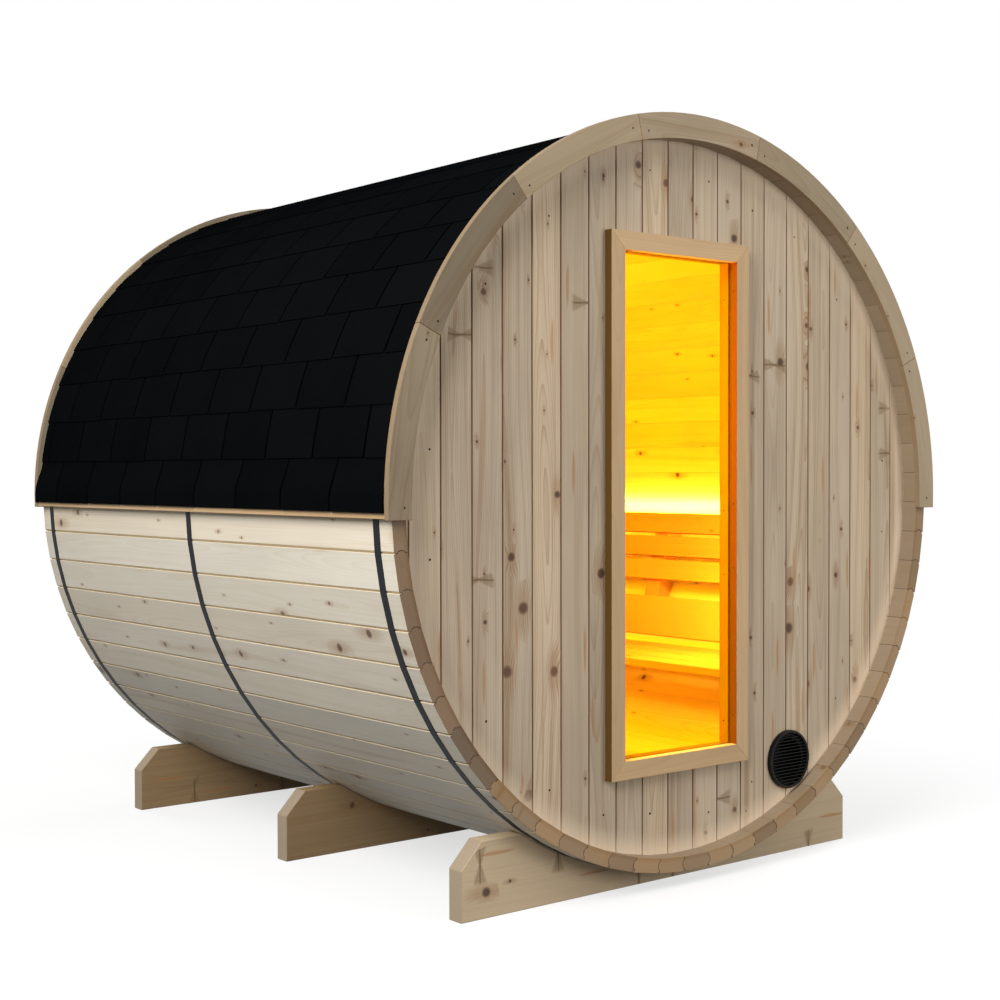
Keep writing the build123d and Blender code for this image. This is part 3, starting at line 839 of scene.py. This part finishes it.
def boarding_tree():
    """A row of boards cut to the shape of a panel."""
    tree, given = new_growth(
        "Boarding",
        {
            "Geometry": "Geometry", "Board": "Object", "Boards": "Int", "First": "Float", "Cover": "Float",
            "Material": "Material",
        },
    )
    start, offset = (tree.vector(given[name], 0.0, 0.0) for name in ("First", "Cover"))
    row = tree.add(
        "GeometryNodeMeshLine", None, {"Count": given["Boards"], "Start Location": start, "Offset": offset}
    )
    instances = scatter(tree, row, given["Board"])
    real = tree.add("GeometryNodeRealizeInstances", None, {"Geometry": instances})
    cut = tree.add(
        "GeometryNodeMeshBoolean",
        {"operation": "INTERSECT", "solver": "EXACT"},
        {"Mesh 2": [real, given["Geometry"]]},
    )
    return end_growth(tree, cut, given["Material"])


def boarded(node, tree, board, first, cover, count, material, seed):
    """Boards in place of one panel of a wall or door."""
    low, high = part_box(node)
    given = {"Board": board, "Boards": count, "First": first, "Cover": cover, "Material": material}
    mesh = grow(tree, given, mesh_of(merged(node), f"{node}_panel"))
    lay_grain(mesh, seed, (first, cover, (low.y + high.y) / 2))
    smooth_arcs(mesh)
    return finish(f"{node}_boards", mesh, (node,))


def heads_tree():
    """Heads of nails or bolts at the points of a mesh."""
    tree, given = new_growth(
        "Heads",
        {"Geometry": "Geometry", "Head": "Object", "Seed": "Int", "Turn": "Float", "Material": "Material"},
    )
    spin = tree.add("FunctionNodeRandomValue", None, {2: 0.0, 3: math.tau, "Seed": given["Seed"]}, 1)
    size = tree.add("FunctionNodeRandomValue", None, {2: 0.85, 3: 1.15, "Seed": given["Seed"] + 1}, 1)
    turn = tree.vector(math.pi / 2, spin, given["Turn"])
    instances = scatter(tree, given["Geometry"], given["Head"], {"Rotation": turn, "Scale": size})
    return end_growth(tree, instances, given["Material"])


def head_mesh(radius, stand, sides, name):
    """A low domed head whose face looks along +Z."""
    steps = ((1.0, -0.5), (1.0, 0.4), (0.72, 0.85))
    rings = [
        [(radius * share * across, radius * share * up, stand * rise) for across, up in circle(sides)]
        for share, rise in steps
    ]
    return loft(rings, name)


def heads(name, points, head, turn, material, tree, seed):
    """A piece made of heads at these points, which look along -Y, or +Y at half a turn."""
    cloud = bpy.data.meshes.new(name)
    cloud.from_pydata(points, [], [])
    mesh = grow(tree, {"Head": head, "Seed": seed, "Turn": turn, "Material": material}, cloud)
    return finish(name, mesh)


def arc_point(radius, angle):
    """X and Z of a point about the barrel's axis."""
    return radius * math.cos(angle), AXIS_Z + radius * math.sin(angle)


def arc_slab(sections, name):
    """A closed slab one metre long about the Y axis, from angles with an inner and an outer radius."""
    rings = []
    for angle, inner, outer in sections:
        corners = ((inner, 0.0), (outer, 0.0), (outer, 1.0), (inner, 1.0))
        rings.append([(radius * math.cos(angle), y, radius * math.sin(angle)) for radius, y in corners])
    return loft(rings, name)


def roof_bed(sections, length, name):
    """A slab about the barrel's axis, as long as the roof."""
    bed = arc_slab(sections, name)
    bed.transform(Matrix.Translation((0, -length / 2, AXIS_Z)) @ Matrix.Diagonal((1, length, 1, 1)))
    return bed


def shingle_tree():
    """Courses of tabs that climb a roof about the Y axis, each tab cut off at the roof's ends."""
    tree, given = new_growth(
        "Shingle courses",
        {
            "Tab": "Object", "Tab length": "Float", "Slit": "Float", "Roof length": "Float",
            "Axis height": "Float", "First angle": "Float", "Course angle": "Float",
            "First course": "Int", "Courses": "Int",
            "Shift": "Float", "Wander": "Float", "Seed": "Int", "Material": "Material",
        },
    )
    length, roof = given["Tab length"], given["Roof length"]
    tabs = (roof / length).math("CEIL", roof / length) + 2
    points = tree.add("GeometryNodePoints", None, {"Count": given["Courses"] * tabs})
    index = tree.add("GeometryNodeInputIndex")
    step = index // tabs
    course = step + given["First course"]
    start = (index - step * tabs - 1.5 + course % 2 * 0.5) * length - roof / 2 + given["Shift"]
    low = start.math("MAXIMUM", start, roof * -0.5)
    high = start.math("MINIMUM", start + length - given["Slit"], roof * 0.5)
    width = high - low
    short = width.math("LESS_THAN", width, 0.012)
    placed = tree.add(
        "GeometryNodeSetPosition",
        None,
        {"Geometry": points, "Position": tree.vector(0.0, low, given["Axis height"])},
    )
    stray = tree.add("FunctionNodeRandomValue", None, {2: -1.0, 3: 1.0, "Seed": given["Seed"]}, 1)
    angle = given["First angle"] + step * given["Course angle"] + stray * given["Wander"]
    layout = {
        "Selection": 1 - short,
        "Rotation": tree.vector(0.0, angle * -1.0, 0.0),
        "Scale": tree.vector(1.0, width, 1.0),
    }
    instances = scatter(tree, placed, given["Tab"], layout)
    return end_growth(tree, instances, given["Material"])


def slat_tree():
    """Louvre slats across a round opening, each as long as its chord."""
    tree, given = new_growth(
        "Louvre",
        {
            "Slat": "Object", "Slats": "Int", "Opening": "Float", "Middle": "Vector", "Tilt": "Float",
            "Material": "Material",
        },
    )
    points = tree.add("GeometryNodePoints", None, {"Count": given["Slats"]})
    index = tree.add("GeometryNodeInputIndex")
    rise = ((index + 0.5) / given["Slats"] * 2 - 1) * given["Opening"]
    half = (given["Opening"] * given["Opening"] - rise * rise) ** 0.5 + 0.002
    middle_x, middle_y, middle_z = tree.parts(given["Middle"])
    placed = tree.add(
        "GeometryNodeSetPosition",
        None,
        {"Geometry": points, "Position": tree.vector(middle_x, middle_y, middle_z + rise)},
    )
    layout = {"Rotation": tree.vector(given["Tilt"], 0.0, 0.0), "Scale": tree.vector(half, 1.0, 1.0)}
    instances = scatter(tree, placed, given["Slat"], layout)
    return end_growth(tree, instances, given["Material"])


def joined(meshes, name):
    """Several meshes as one."""
    shape = bmesh.new()
    for mesh in meshes:
        shape.from_mesh(mesh)
    return mesh_of(shape, name)


class SAUNA_OT_staves(Operator):
    """Plane the staves of the barrel"""

    bl_idname = "sauna.staves"
    bl_label = "Staves"

    def execute(self, context):
        boards = context.scene.sauna_boards
        for seed, side in enumerate(("right", "roof", "left", "floor")):
            # Painted light: the left-hand staves' end grain is darker, a painted shade; the paler side faces
            # are a painted highlight on the chamfers, and the dark seams a painted shade in the joints.
            material = wood(
                f"{side}_stave_spruce", "stave", knot_reach=0.008, figure=0.45,
                ends=(112, 84, 56) if side == "left" else (147, 115, 77), sides=(216, 199, 166),
                seams=(64, 46, 32), stain=stave_lip,
            )
            for turn, half in enumerate(("odd", "even")):
                node = f"{side}_staves_{half}"
                planed(node, boards.eased_edge, material, 10 + 2 * seed + turn, beaded)
        return {"FINISHED"}


class SAUNA_OT_bands(Operator):
    """Finish the steel bands"""

    bl_idname = "sauna.bands"
    bl_label = "Bands"

    def execute(self, context):
        material = steel("band_coating", context.scene.sauna_colours.steel)
        for place in ("front", "middle", "rear"):
            dress(f"{place}_band", material)
        return {"FINISHED"}


class SAUNA_OT_end_walls(Operator):
    """Board the two end walls"""

    bl_idname = "sauna.end_walls"
    bl_label = "End walls"

    def execute(self, context):
        boards = context.scene.sauna_boards
        # The wall wood is painted paler near the stave ends, a painted glow along the rim.
        material = wood(
            "wall_spruce", "wall", knot_share=0.66, knot_reach=0.0115, knot_bias=2.1, figure=0.9, wisps=0.06,
            spindles=0.05, mottle=0.3, sides=(124, 92, 64), stain=painted_rim_glow,
        )
        tree = boarding_tree()
        reach = WALL_RADIUS + boards.cover
        steps = math.floor((reach + boards.first_joint) / boards.cover)
        first = boards.first_joint + boards.cover / 2 - steps * boards.cover
        count = math.ceil((reach - first) / boards.cover)
        ends = (("front", WALL_LOW, WALL_HIGH), ("rear", REAR_WALL_LOW, REAR_WALL_HIGH))
        for seed, (end, low, high) in enumerate(ends):
            outline = board_outline(boards.cover, low.y, high.y)
            board = prism(outline, AXIS_Z - reach, AXIS_Z + reach, f"{end}_board")
            for part in ("left", "right", "head", "sill"):
                boarded(f"{end}_wall_{part}", tree, board, first, boards.cover, count, material, 30 + seed)
        return {"FINISHED"}


class SAUNA_OT_window(Operator):
    """Finish the window: trim, stops and glass"""

    bl_idname = "sauna.window"
    bl_label = "Window"

    def execute(self, context):
        boards = context.scene.sauna_boards
        looks = {"figure": 0.6, "gloss": 0.1}
        seams = (190, 162, 126)
        trim = wood("window_trim_spruce", "trim", knot_share=0.05, seams=seams, stain=window_stain_and_glow, **looks)
        # Painted light: the stops' amber is partly a painted glow of the room, and their top and bottom faces
        # are painted paler.
        stops = wood("stop_spruce", "stop", knot_share=0.1, stain=lit_sill, **looks)
        planed("window_trim", boards.trim_edge, trim, 40)
        planed("window_stops", boards.eased_edge, stops, 41)
        dress("window_glass", window_pane("window_pane"))
        return {"FINISHED"}


class SAUNA_OT_door(Operator):
    """Board the rear door and finish its trim, hinges and pull"""

    bl_idname = "sauna.door"
    bl_label = "Door"

    def execute(self, context):
        boards = context.scene.sauna_boards
        leaf = wood("door_spruce", "wall", knot_share=0.55, wisps=0.06, mottle=0.3, sides=(98, 74, 52))
        trim = wood("door_trim_spruce", "trim", knot_share=0.15)
        metal = steel("hinge_coating", context.scene.sauna_colours.steel)
        count = math.ceil((DOOR_HIGH.x - DOOR_LOW.x) / boards.door_cover)
        first = (DOOR_LOW.x + DOOR_HIGH.x) / 2 - (count - 1) * boards.door_cover / 2
        outline = board_outline(boards.door_cover, DOOR_LOW.y, DOOR_HIGH.y)
        board = prism(outline, DOOR_LOW.z - boards.cover, DOOR_HIGH.z + boards.cover, "door_board")
        boarded("door_leaf", boarding_tree(), board, first, boards.door_cover, count, leaf, 50)
        for seed, node in enumerate(("door_trim", "door_pull", "door_pull_posts")):
            planed(node, boards.eased_edge, trim, 51 + seed)
        planed("door_hinges", boards.eased_edge / 2, metal, 54)
        return {"FINISHED"}


class SAUNA_OT_vent(Operator):
    """Mould the round vent with its louvre slats"""

    bl_idname = "sauna.vent"
    bl_label = "Vent"

    def execute(self, context):
        material = plastic("vent_moulding")
        radius = (VENT_HIGH.x - VENT_LOW.x) / 2
        middle_x, middle_z = (VENT_LOW.x + VENT_HIGH.x) / 2, (VENT_LOW.z + VENT_HIGH.z) / 2
        face, front, back = WALL_LOW.y, VENT_LOW.y, VENT_HIGH.y
        depth = face - front
        rim, sleeve, wall = radius * 0.89, radius * 0.738, radius * 0.036
        crown, half, lift = (radius + rim) / 2, (radius - rim) / 2, depth * 0.4
        bead = [math.pi * step / 10 for step in range(11)]
        profile = [
            (radius, face),
            *((crown + half * math.cos(turn), front + lift * (1 - math.sin(turn))) for turn in bead),
            (rim, face - wall),
            (sleeve - wall, face - wall),
            (sleeve - wall, back),
            (sleeve, back),
            (sleeve, face),
        ]
        rings = [
            [(middle_x + reach * across, y, middle_z + reach * up) for reach, y in profile]
            for across, up in circle(72)
        ]
        housing = loft(rings, "vent_housing", closed=True)
        thickness, reach = depth * 0.12, depth * 0.26
        outline = [(-1.0, -reach), (1.0, -reach), (1.0, reach), (-1.0, reach)]
        slats = grow(
            slat_tree(),
            {
                "Slat": prism(outline, -thickness / 2, thickness / 2, "vent_slat"),
                "Slats": 16,
                "Opening": rim,
                "Tilt": math.radians(-35),
                "Middle": (middle_x, front + depth * 0.42, middle_z),
                "Material": material,
            },
        )
        bore = sleeve - wall
        disc = [(bore * across, bore * up) for across, up in circle(72)]
        damper = prism(disc, 0.0, wall / 2, "vent_damper")
        damper.transform(
            Matrix.Translation((middle_x, back - wall, middle_z)) @ Matrix.Rotation(math.pi / 2, 4, "X")
        )
        mesh = joined((housing, slats, damper), "vent")
        smooth_arcs(mesh)
        finish("vent_moulded", mesh, ("vent_louvre",), material)
        return {"FINISHED"}


class SAUNA_OT_roof(Operator):
    """Lay the eave strips, the shingles and the ridge cap"""

    bl_idname = "sauna.roof"
    bl_label = "Roof"

    def execute(self, context):
        boards, roof = context.scene.sauna_boards, context.scene.sauna_roof
        trim = wood("eave_spruce", "trim", knot_share=0.2)
        planed("eave_strips", boards.eased_edge, trim, 60)
        material = felt("shingle_felt")
        length = STAVE_HIGH.y - STAVE_LOW.y
        base = RIDGE_HIGH.z - AXIS_Z - roof.ridge_rise
        strip_base = EAVE_HIGH.x - roof.butt
        first = math.asin((EAVE_LOW.z - AXIS_Z) / strip_base)
        ridge = math.acos(RIDGE_HIGH.x / (base + roof.ridge_rise))
        course = (ridge - first) / roof.course_count
        eave_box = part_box("eave_strips")[1]
        strip_end = math.asin((eave_box.z - AXIS_Z) / strip_base)
        top = base + roof.butt * 0.5
        half = roof.butt / 2
        lap = 0.06

        steps = 6
        field = []
        for step in range(steps + 1):
            share = step / steps
            fall = half * (1 - share)
            field.append((course * (1 + lap) * share, base + roof.sheet + fall, top + fall))
        eave = [(0.0, strip_base + half, strip_base + roof.butt)]
        for step in range(steps + 1):
            share = step / steps
            eased = share * share * (3 - 2 * share)
            angle = strip_end - first + (course - strip_end + first) * share
            inner = strip_base + half + (base + half * 0.5 - strip_base - half) * eased
            eave.append((angle, inner, inner + half * (1 - eased * 0.5)))
        starter = [
            (first, strip_base, strip_base + half * 0.9),
            (strip_end, strip_base, strip_base + half * 0.9),
            (first + course, base, base + half * 0.45),
        ]
        arc = [first + course + (ridge - first - course) * step / 24 for step in range(25)]
        sheet = [(angle, base, base + roof.sheet * 0.8) for angle in arc]
        tree = shingle_tree()
        given = {
            "Tab length": roof.tab_length, "Slit": roof.slit, "Roof length": length, "Axis height": AXIS_Z,
            "Course angle": course, "Wander": roof.wander, "Material": material,
        }
        rows = (
            (arc_slab(eave, "eave_tab"), 0, 1, first, 70),
            (arc_slab(field, "field_tab"), 1, roof.course_count - 1, first + course, 71),
        )
        for side, turn in (("right", 0.0), ("left", math.pi)):
            meshes, bed_count = [], 0
            for tab, first_course, courses, first_angle, seed in rows:
                layout = {
                    "Tab": tab, "First course": first_course, "Courses": courses, "First angle": first_angle,
                    "Shift": roof.tab_length * 0.24, "Seed": seed,
                }
                meshes.append(grow(tree, given | layout))
            for sections, name in ((starter, "starter"), (sheet, "sheet")):
                meshes.append(roof_bed(sections, length, name))
                bed_count += len(meshes[-1].vertices)
            mesh = joined(meshes, f"{side}_roof")
            mesh.transform(Matrix.Rotation(turn, 4, "Z"))
            lay_grain(mesh, 72)
            # Painted shade: the starter and the sheet under the tabs get a much darker tone, so the slits
            # between the tabs look shaded.
            tone = read(mesh.attributes["tone"].data, "value", 1)
            tone[-bed_count:] = -1.6
            mesh.attributes["tone"].data.foreach_set("value", tone.ravel())
            smooth_arcs(mesh)
            finish(f"{side}_shingles_laid", mesh, (f"{side}_shingles",), material)

        arc = [ridge + (math.pi - 2 * ridge) * step / 8 for step in range(9)]
        cap = [(angle, base + roof.ridge_rise * 0.55, base + roof.ridge_rise) for angle in arc]
        under = [(angle, base, base + roof.ridge_rise * 0.5) for angle in arc]
        layout = {
            "Tab": arc_slab(cap, "ridge_tab"), "Tab length": roof.ridge_tab, "Slit": 0.0012,
            "First angle": 0.0, "First course": 0, "Courses": 1, "Shift": roof.ridge_tab * 0.3, "Seed": 75,
        }
        caps = grow(tree, given | layout)
        mesh = joined((caps, roof_bed(under, length, "ridge_bed")), "ridge")
        lay_grain(mesh, 76)
        smooth_arcs(mesh)
        finish("ridge_cap_laid", mesh, ("ridge_cap",), material)
        return {"FINISHED"}


class SAUNA_OT_fascia(Operator):
    """Plane the arched fascia boards"""

    bl_idname = "sauna.fascia"
    bl_label = "Fascia"

    def execute(self, context):
        boards = context.scene.sauna_boards
        # Painted shade: the side faces, the arch's outer edge, are darker, and the seams are darkened in the
        # joints between boards.
        material = wood(
            "fascia_spruce", "fascia", knot_share=0.2, knot_reach=0.004, figure=0.8, mottle=0.8,
            sides=(134, 112, 84), seams=(112, 90, 66),
        )
        for seed, end in enumerate(("front", "rear")):
            planed(f"{end}_fascia", boards.eased_edge, material, 84548 + seed, set_back)
        return {"FINISHED"}


class SAUNA_OT_cradles(Operator):
    """Plane the cradles"""

    bl_idname = "sauna.cradles"
    bl_label = "Cradles"

    def execute(self, context):
        boards = context.scene.sauna_boards
        looks = {"knot_reach": 0.009, "figure": 0.6, "wisps": 0.12, "spindles": 0.05, "ends": (158, 140, 116)}
        plain_cradle = wood("cradle_spruce", "cradle", **looks)
        # Painted shade: the middle and rear cradles get a darker copy of the wood for the shade under the
        # barrel.
        damp = wood("damp_spruce", "damp", **looks)
        for seed, (place, material) in enumerate((("front", plain_cradle), ("middle", damp), ("rear", damp))):
            planed(f"{place}_cradle", boards.cradle_edge, material, 90 + seed)
        return {"FINISHED"}


class SAUNA_OT_bench(Operator):
    """Plane the bench and its backrest, and light its strips"""

    bl_idname = "sauna.bench"
    bl_label = "Bench"

    def execute(self, context):
        material = wood("bench_spruce", "bench", knot_share=0.2, figure=0.35)
        nodes = ("bench_seat", "bench_brackets", "backrest_slats", "backrest_uprights")
        for seed, node in enumerate(nodes):
            planed(node, context.scene.sauna_boards.bench_edge, material, 100 + seed)
        dress("light_strips", glow("strip_diffuser"))
        return {"FINISHED"}


class SAUNA_OT_nails(Operator):
    """Drive the nails of the fascia and the walls and the bolts of the hinges"""

    bl_idname = "sauna.nails"
    bl_label = "Nails"

    def execute(self, context):
        boards = context.scene.sauna_boards
        material = steel("nail_steel", context.scene.sauna_colours.nail, 0.0)
        tree = heads_tree()
        nail = head_mesh(boards.nail_radius, boards.nail_stand, 8, "nail")
        brad = head_mesh(boards.brad_radius, boards.nail_stand, 8, "brad")
        bolt = head_mesh(boards.bolt_radius, boards.bolt_radius * 0.4, 12, "bolt")
        rear_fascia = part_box("rear_fascia")[1].y
        ends = (
            ("front", FASCIA_LOW.y + boards.nail_stand, WALL_LOW.y, 0.0, 1),
            ("rear", rear_fascia - boards.nail_stand, REAR_WALL_HIGH.y, math.pi, -1),
        )
        for seed, (end, fascia_y, wall_y, turn, side) in enumerate(ends):
            points = self.fascia_points(fascia_y, side) + self.wall_points(end, wall_y)
            heads(f"{end}_nails", points, nail, turn, material, tree, 110 + seed)
        heads("stop_brads", self.stop_points(), brad, -math.pi / 2, material, tree, 113)
        low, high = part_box("door_hinges")
        strap = 0.004
        spots = []
        for z in (low.z, high.z):
            middle = z + math.copysign(0.02, AXIS_Z - z)
            spots += [(low.x + reach, DOOR_HIGH.y + strap, middle) for reach in (0.02, 0.085, 0.17, 0.27)]
        heads("hinge_bolts", spots, bolt, math.pi, material, tree, 115)
        return {"FINISHED"}

    def fascia_points(self, y, side):
        """A nail on each side of every joint between fascia boards, and near the ends of the arch."""
        outer = FASCIA_HIGH.x
        start = math.asin((FASCIA_LOW.z - AXIS_Z) / outer)
        board_count = 7
        board_angle = (math.pi - 2 * start) / board_count
        points = []
        for joint in range(board_count + 1):
            for step, reach in ((-1, 0.046), (1, 0.034)):
                angle = start + board_angle * joint + step * 0.028
                if start < angle < math.pi - start:
                    x, z = arc_point(outer - reach, angle)
                    points.append((side * x, y, z))
        return points

    def stop_points(self):
        """Brads in the side of the window's opening that faces the camera, in the trim and in the stop."""
        trim_low, trim_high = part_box("window_trim")
        stop_low, stop_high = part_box("window_stops")
        side = (trim_low.x + trim_high.x) / 2 + (stop_high.x - stop_low.x) / 2 - 0.016
        height = stop_high.z - stop_low.z
        rows = ((trim_low.y + trim_high.y) / 2, (stop_low.y + stop_high.y) / 2)
        return [
            (side, y, stop_high.z - height * share - 0.02 * row)
            for share in (0.07, 0.5, 0.63, 0.93)
            for row, y in enumerate(rows)
        ]

    def wall_points(self, end, y):
        """A nail near both ends of every other wall board."""
        boards = bpy.context.scene.sauna_boards
        draw = np.random.default_rng(117)
        steps = math.floor(WALL_RADIUS / boards.cover)
        points = []
        for step in range(-steps, steps + 1, 2):
            x = boards.first_joint + boards.cover * (step + 0.5) + draw.uniform(-0.02, 0.02)
            if abs(x) > WALL_RADIUS - boards.cover:
                continue
            reach = math.sqrt((WALL_RADIUS - 0.1) ** 2 - x**2)
            for rise in (reach, -reach):
                z = AXIS_Z + rise + draw.uniform(-0.02, 0.02)
                if not self.covered(end, x, z):
                    points.append((x, y, z))
        return points

    def covered(self, end, x, z):
        """Whether a fitting lies over this place of a wall."""
        margin = 0.01
        nodes = ("window_trim", "vent_louvre") if end == "front" else ("door_trim",)
        return any(
            low.x - margin < x < high.x + margin and low.z - margin < z < high.z + margin
            for low, high in map(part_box, nodes)
        )


class SAUNA_OT_stage(Operator):
    """Set the floor, the lamps, the world and the camera"""

    bl_idname = "sauna.stage"
    bl_label = "Stage"

    def execute(self, context):
        scene = context.scene
        light = scene.sauna_light
        scene.view_settings.view_transform = "Standard"
        self.floor()
        self.world(scene, light.world_level)
        for name, place, size, power in (
            ("key", (-4.7, -2.2, 4.1), 3.6, light.key_power),
            ("top", (1.6, -4.5, 4.2), 2.4, light.top_power),
            ("front", (1.7, -6.0, 1.5), 2.4, light.front_power),
            ("rear", (-1.2, 6.2, 2.4), 2.4, light.rear_power),
            ("right", (5.6, 0.6, 3.2), 2.4, light.right_power),
        ):
            self.lamp(name, Vector(place), Vector((0, 0, AXIS_Z)) - Vector(place), size, size, power)
        back_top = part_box("backrest_slats")[1].z
        wall_x = math.sqrt((BARREL_RADIUS - STAVE_THICKNESS) ** 2 - (back_top - AXIS_Z) ** 2)
        length = (STAVE_HIGH.y - STAVE_LOW.y) * 0.86
        amber, pale, strip = light.room_colour, light.strip_colour, light.strip_power
        for name, place, look, width, long, power, colour in (
            ("room", (-0.5, 0, AXIS_Z + 0.3), (1.4, 0, -0.35), 0.7, length, light.room_power, amber),
            ("low", (0.1, 0, AXIS_Z - 0.84), (0.65, 0, 0.1), 0.1, length, light.low_power, amber),
            ("seat", (0.5, -0.55, AXIS_Z - 0.05), (0.06, 0.1, -0.55), 0.2, 0.2, light.seat_power, pale),
            ("upper_strip", (wall_x - 0.018, 0, back_top + 0.022), (1, 0, 0), 0.045, length, strip, pale),
            (
                "behind_strip", (LIGHT_HIGH.x + 0.012, 0, LIGHT_HIGH.z + 0.004), (0.05, 0, -0.3),
                0.02, length, strip * 0.2, amber,
            ),
            (
                "lower_strip", (LIGHT_LOW.x + 0.004, 0, LIGHT_LOW.z - 0.004), (0.02, 0, -0.3),
                0.02, length, strip * 0.04, amber,
            ),
        ):
            self.lamp(name, Vector(place), Vector(look), width, long, power, colour)
        self.camera(scene, light.lens)
        return {"FINISHED"}

    def floor(self):
        """A pale floor that keeps the shadow and fades into the background."""
        material, tree = new_material("studio_floor")
        place = tree.place()
        place_x, place_y, _ = tree.parts(place)
        distance = (place_x * place_x + place_y * place_y) ** 0.5
        colour = tree.scale((0.96, 0.96, 0.96), 0.99 + tree.noise(place, 40.0) * 0.02)
        pale = tree.add("ShaderNodeBsdfDiffuse", None, {"Color": colour})
        dim = tree.add("ShaderNodeBsdfDiffuse", None, {"Color": (0.14, 0.14, 0.14, 1.0)})
        white = tree.add("ShaderNodeEmission", None, {"Color": (1.0, 1.0, 1.0, 1.0), "Strength": 1.0})
        seen = tree.seen()
        near = tree.add("ShaderNodeMixShader", None, {0: seen, 1: dim, 2: pale})
        far = (0.66 + distance.smooth(1.2, 2.6) * 0.34) * seen
        surface = tree.add("ShaderNodeMixShader", None, {0: far, 1: near, 2: white})
        tree.add("ShaderNodeOutputMaterial", None, {"Surface": surface})
        size = 60.0
        mesh = bpy.data.meshes.new("floor")
        corners = [(-size, -size, 0), (size, -size, 0), (size, size, 0), (-size, size, 0)]
        mesh.from_pydata(corners, [], [(0, 1, 2, 3)])
        mesh.materials.append(material)
        floor = bpy.data.objects.new("floor", mesh)
        bpy.context.scene.collection.objects.link(floor)

    def world(self, scene, level):
        """White to the camera and in reflections, and an even light for the rest."""
        world = bpy.data.worlds.new("studio")
        world.use_nodes = True
        world.node_tree.nodes.clear()
        tree = Tree(world.node_tree)
        even = tree.add("ShaderNodeBackground", None, {"Color": (1.0, 0.985, 0.96, 1.0), "Strength": level})
        white = tree.add("ShaderNodeBackground", None, {"Color": (1.0, 1.0, 1.0, 1.0), "Strength": 1.0})
        surface = tree.add("ShaderNodeMixShader", None, {0: tree.seen(), 1: even, 2: white})
        tree.add("ShaderNodeOutputWorld", None, {"Surface": surface})
        scene.world = world

    def lamp(self, name, place, look, width, length, power, colour=(1.0, 1.0, 1.0)):
        """A rectangular lamp that looks along a line, with its length level."""
        data = bpy.data.lights.new(f"{name}_lamp", "AREA")
        data.shape = "RECTANGLE"
        data.size, data.size_y = length, width
        data.energy = power
        data.color = colour
        lamp = bpy.data.objects.new(f"{name}_lamp", data)
        lamp.location = place
        lamp.rotation_mode = "QUATERNION"
        lamp.rotation_quaternion = look.to_track_quat("-Z", "Y")
        lamp.visible_camera = False
        lamp.visible_glossy = False
        bpy.context.scene.collection.objects.link(lamp)

    def camera(self, scene, lens):
        """The photograph's viewpoint."""
        data = bpy.data.cameras.new("camera")
        data.lens = lens
        data.sensor_width = 36.0
        camera = bpy.data.objects.new("camera", data)
        camera.location = (-3.1366, -4.0141, 1.1145)
        look = Vector((0.62908, 0.77709, -0.01788))
        camera.rotation_mode = "QUATERNION"
        camera.rotation_quaternion = look.to_track_quat("-Z", "Y") @ Quaternion((0, 0, 1), -0.0015)
        scene.collection.objects.link(camera)
        scene.camera = camera


OPERATORS = (
    SAUNA_OT_staves,
    SAUNA_OT_bands,
    SAUNA_OT_end_walls,
    SAUNA_OT_window,
    SAUNA_OT_door,
    SAUNA_OT_vent,
    SAUNA_OT_roof,
    SAUNA_OT_fascia,
    SAUNA_OT_cradles,
    SAUNA_OT_bench,
    SAUNA_OT_nails,
    SAUNA_OT_stage,
)
SETTINGS = {
    "sauna_boards": SaunaBoards,
    "sauna_roof": SaunaRoof,
    "sauna_colours": SaunaColours,
    "sauna_light": SaunaLight,
}


class SAUNA_PT_panel(Panel):
    """Steps and settings of the barrel sauna"""

    bl_idname = "SAUNA_PT_panel"
    bl_label = "Barrel sauna"
    bl_space_type = "VIEW_3D"
    bl_region_type = "UI"
    bl_category = "Sauna"

    def draw(self, context):
        for operator in OPERATORS:
            self.layout.operator(operator.bl_idname)
        for name, group in SETTINGS.items():
            box = self.layout.box()
            box.label(text=group.__doc__)
            for setting in group.__annotations__:
                box.prop(getattr(context.scene, name), setting)


def register():
    """Add the settings, the operators and the panel."""
    for group in (*SETTINGS.values(), *OPERATORS, SAUNA_PT_panel):
        bpy.utils.register_class(group)
    for name, group in SETTINGS.items():
        setattr(bpy.types.Scene, name, PointerProperty(type=group))


def unregister():
    """Take the settings, the operators and the panel away again."""
    for name in SETTINGS:
        delattr(bpy.types.Scene, name)
    for group in reversed((*SETTINGS.values(), *OPERATORS, SAUNA_PT_panel)):
        bpy.utils.unregister_class(group)


def main():
    """Dress the frame piece by piece."""
    register()
    for operator in OPERATORS:
        group, step = operator.bl_idname.split(".")
        getattr(getattr(bpy.ops, group), step)()


if __name__ == "__main__":
    main()
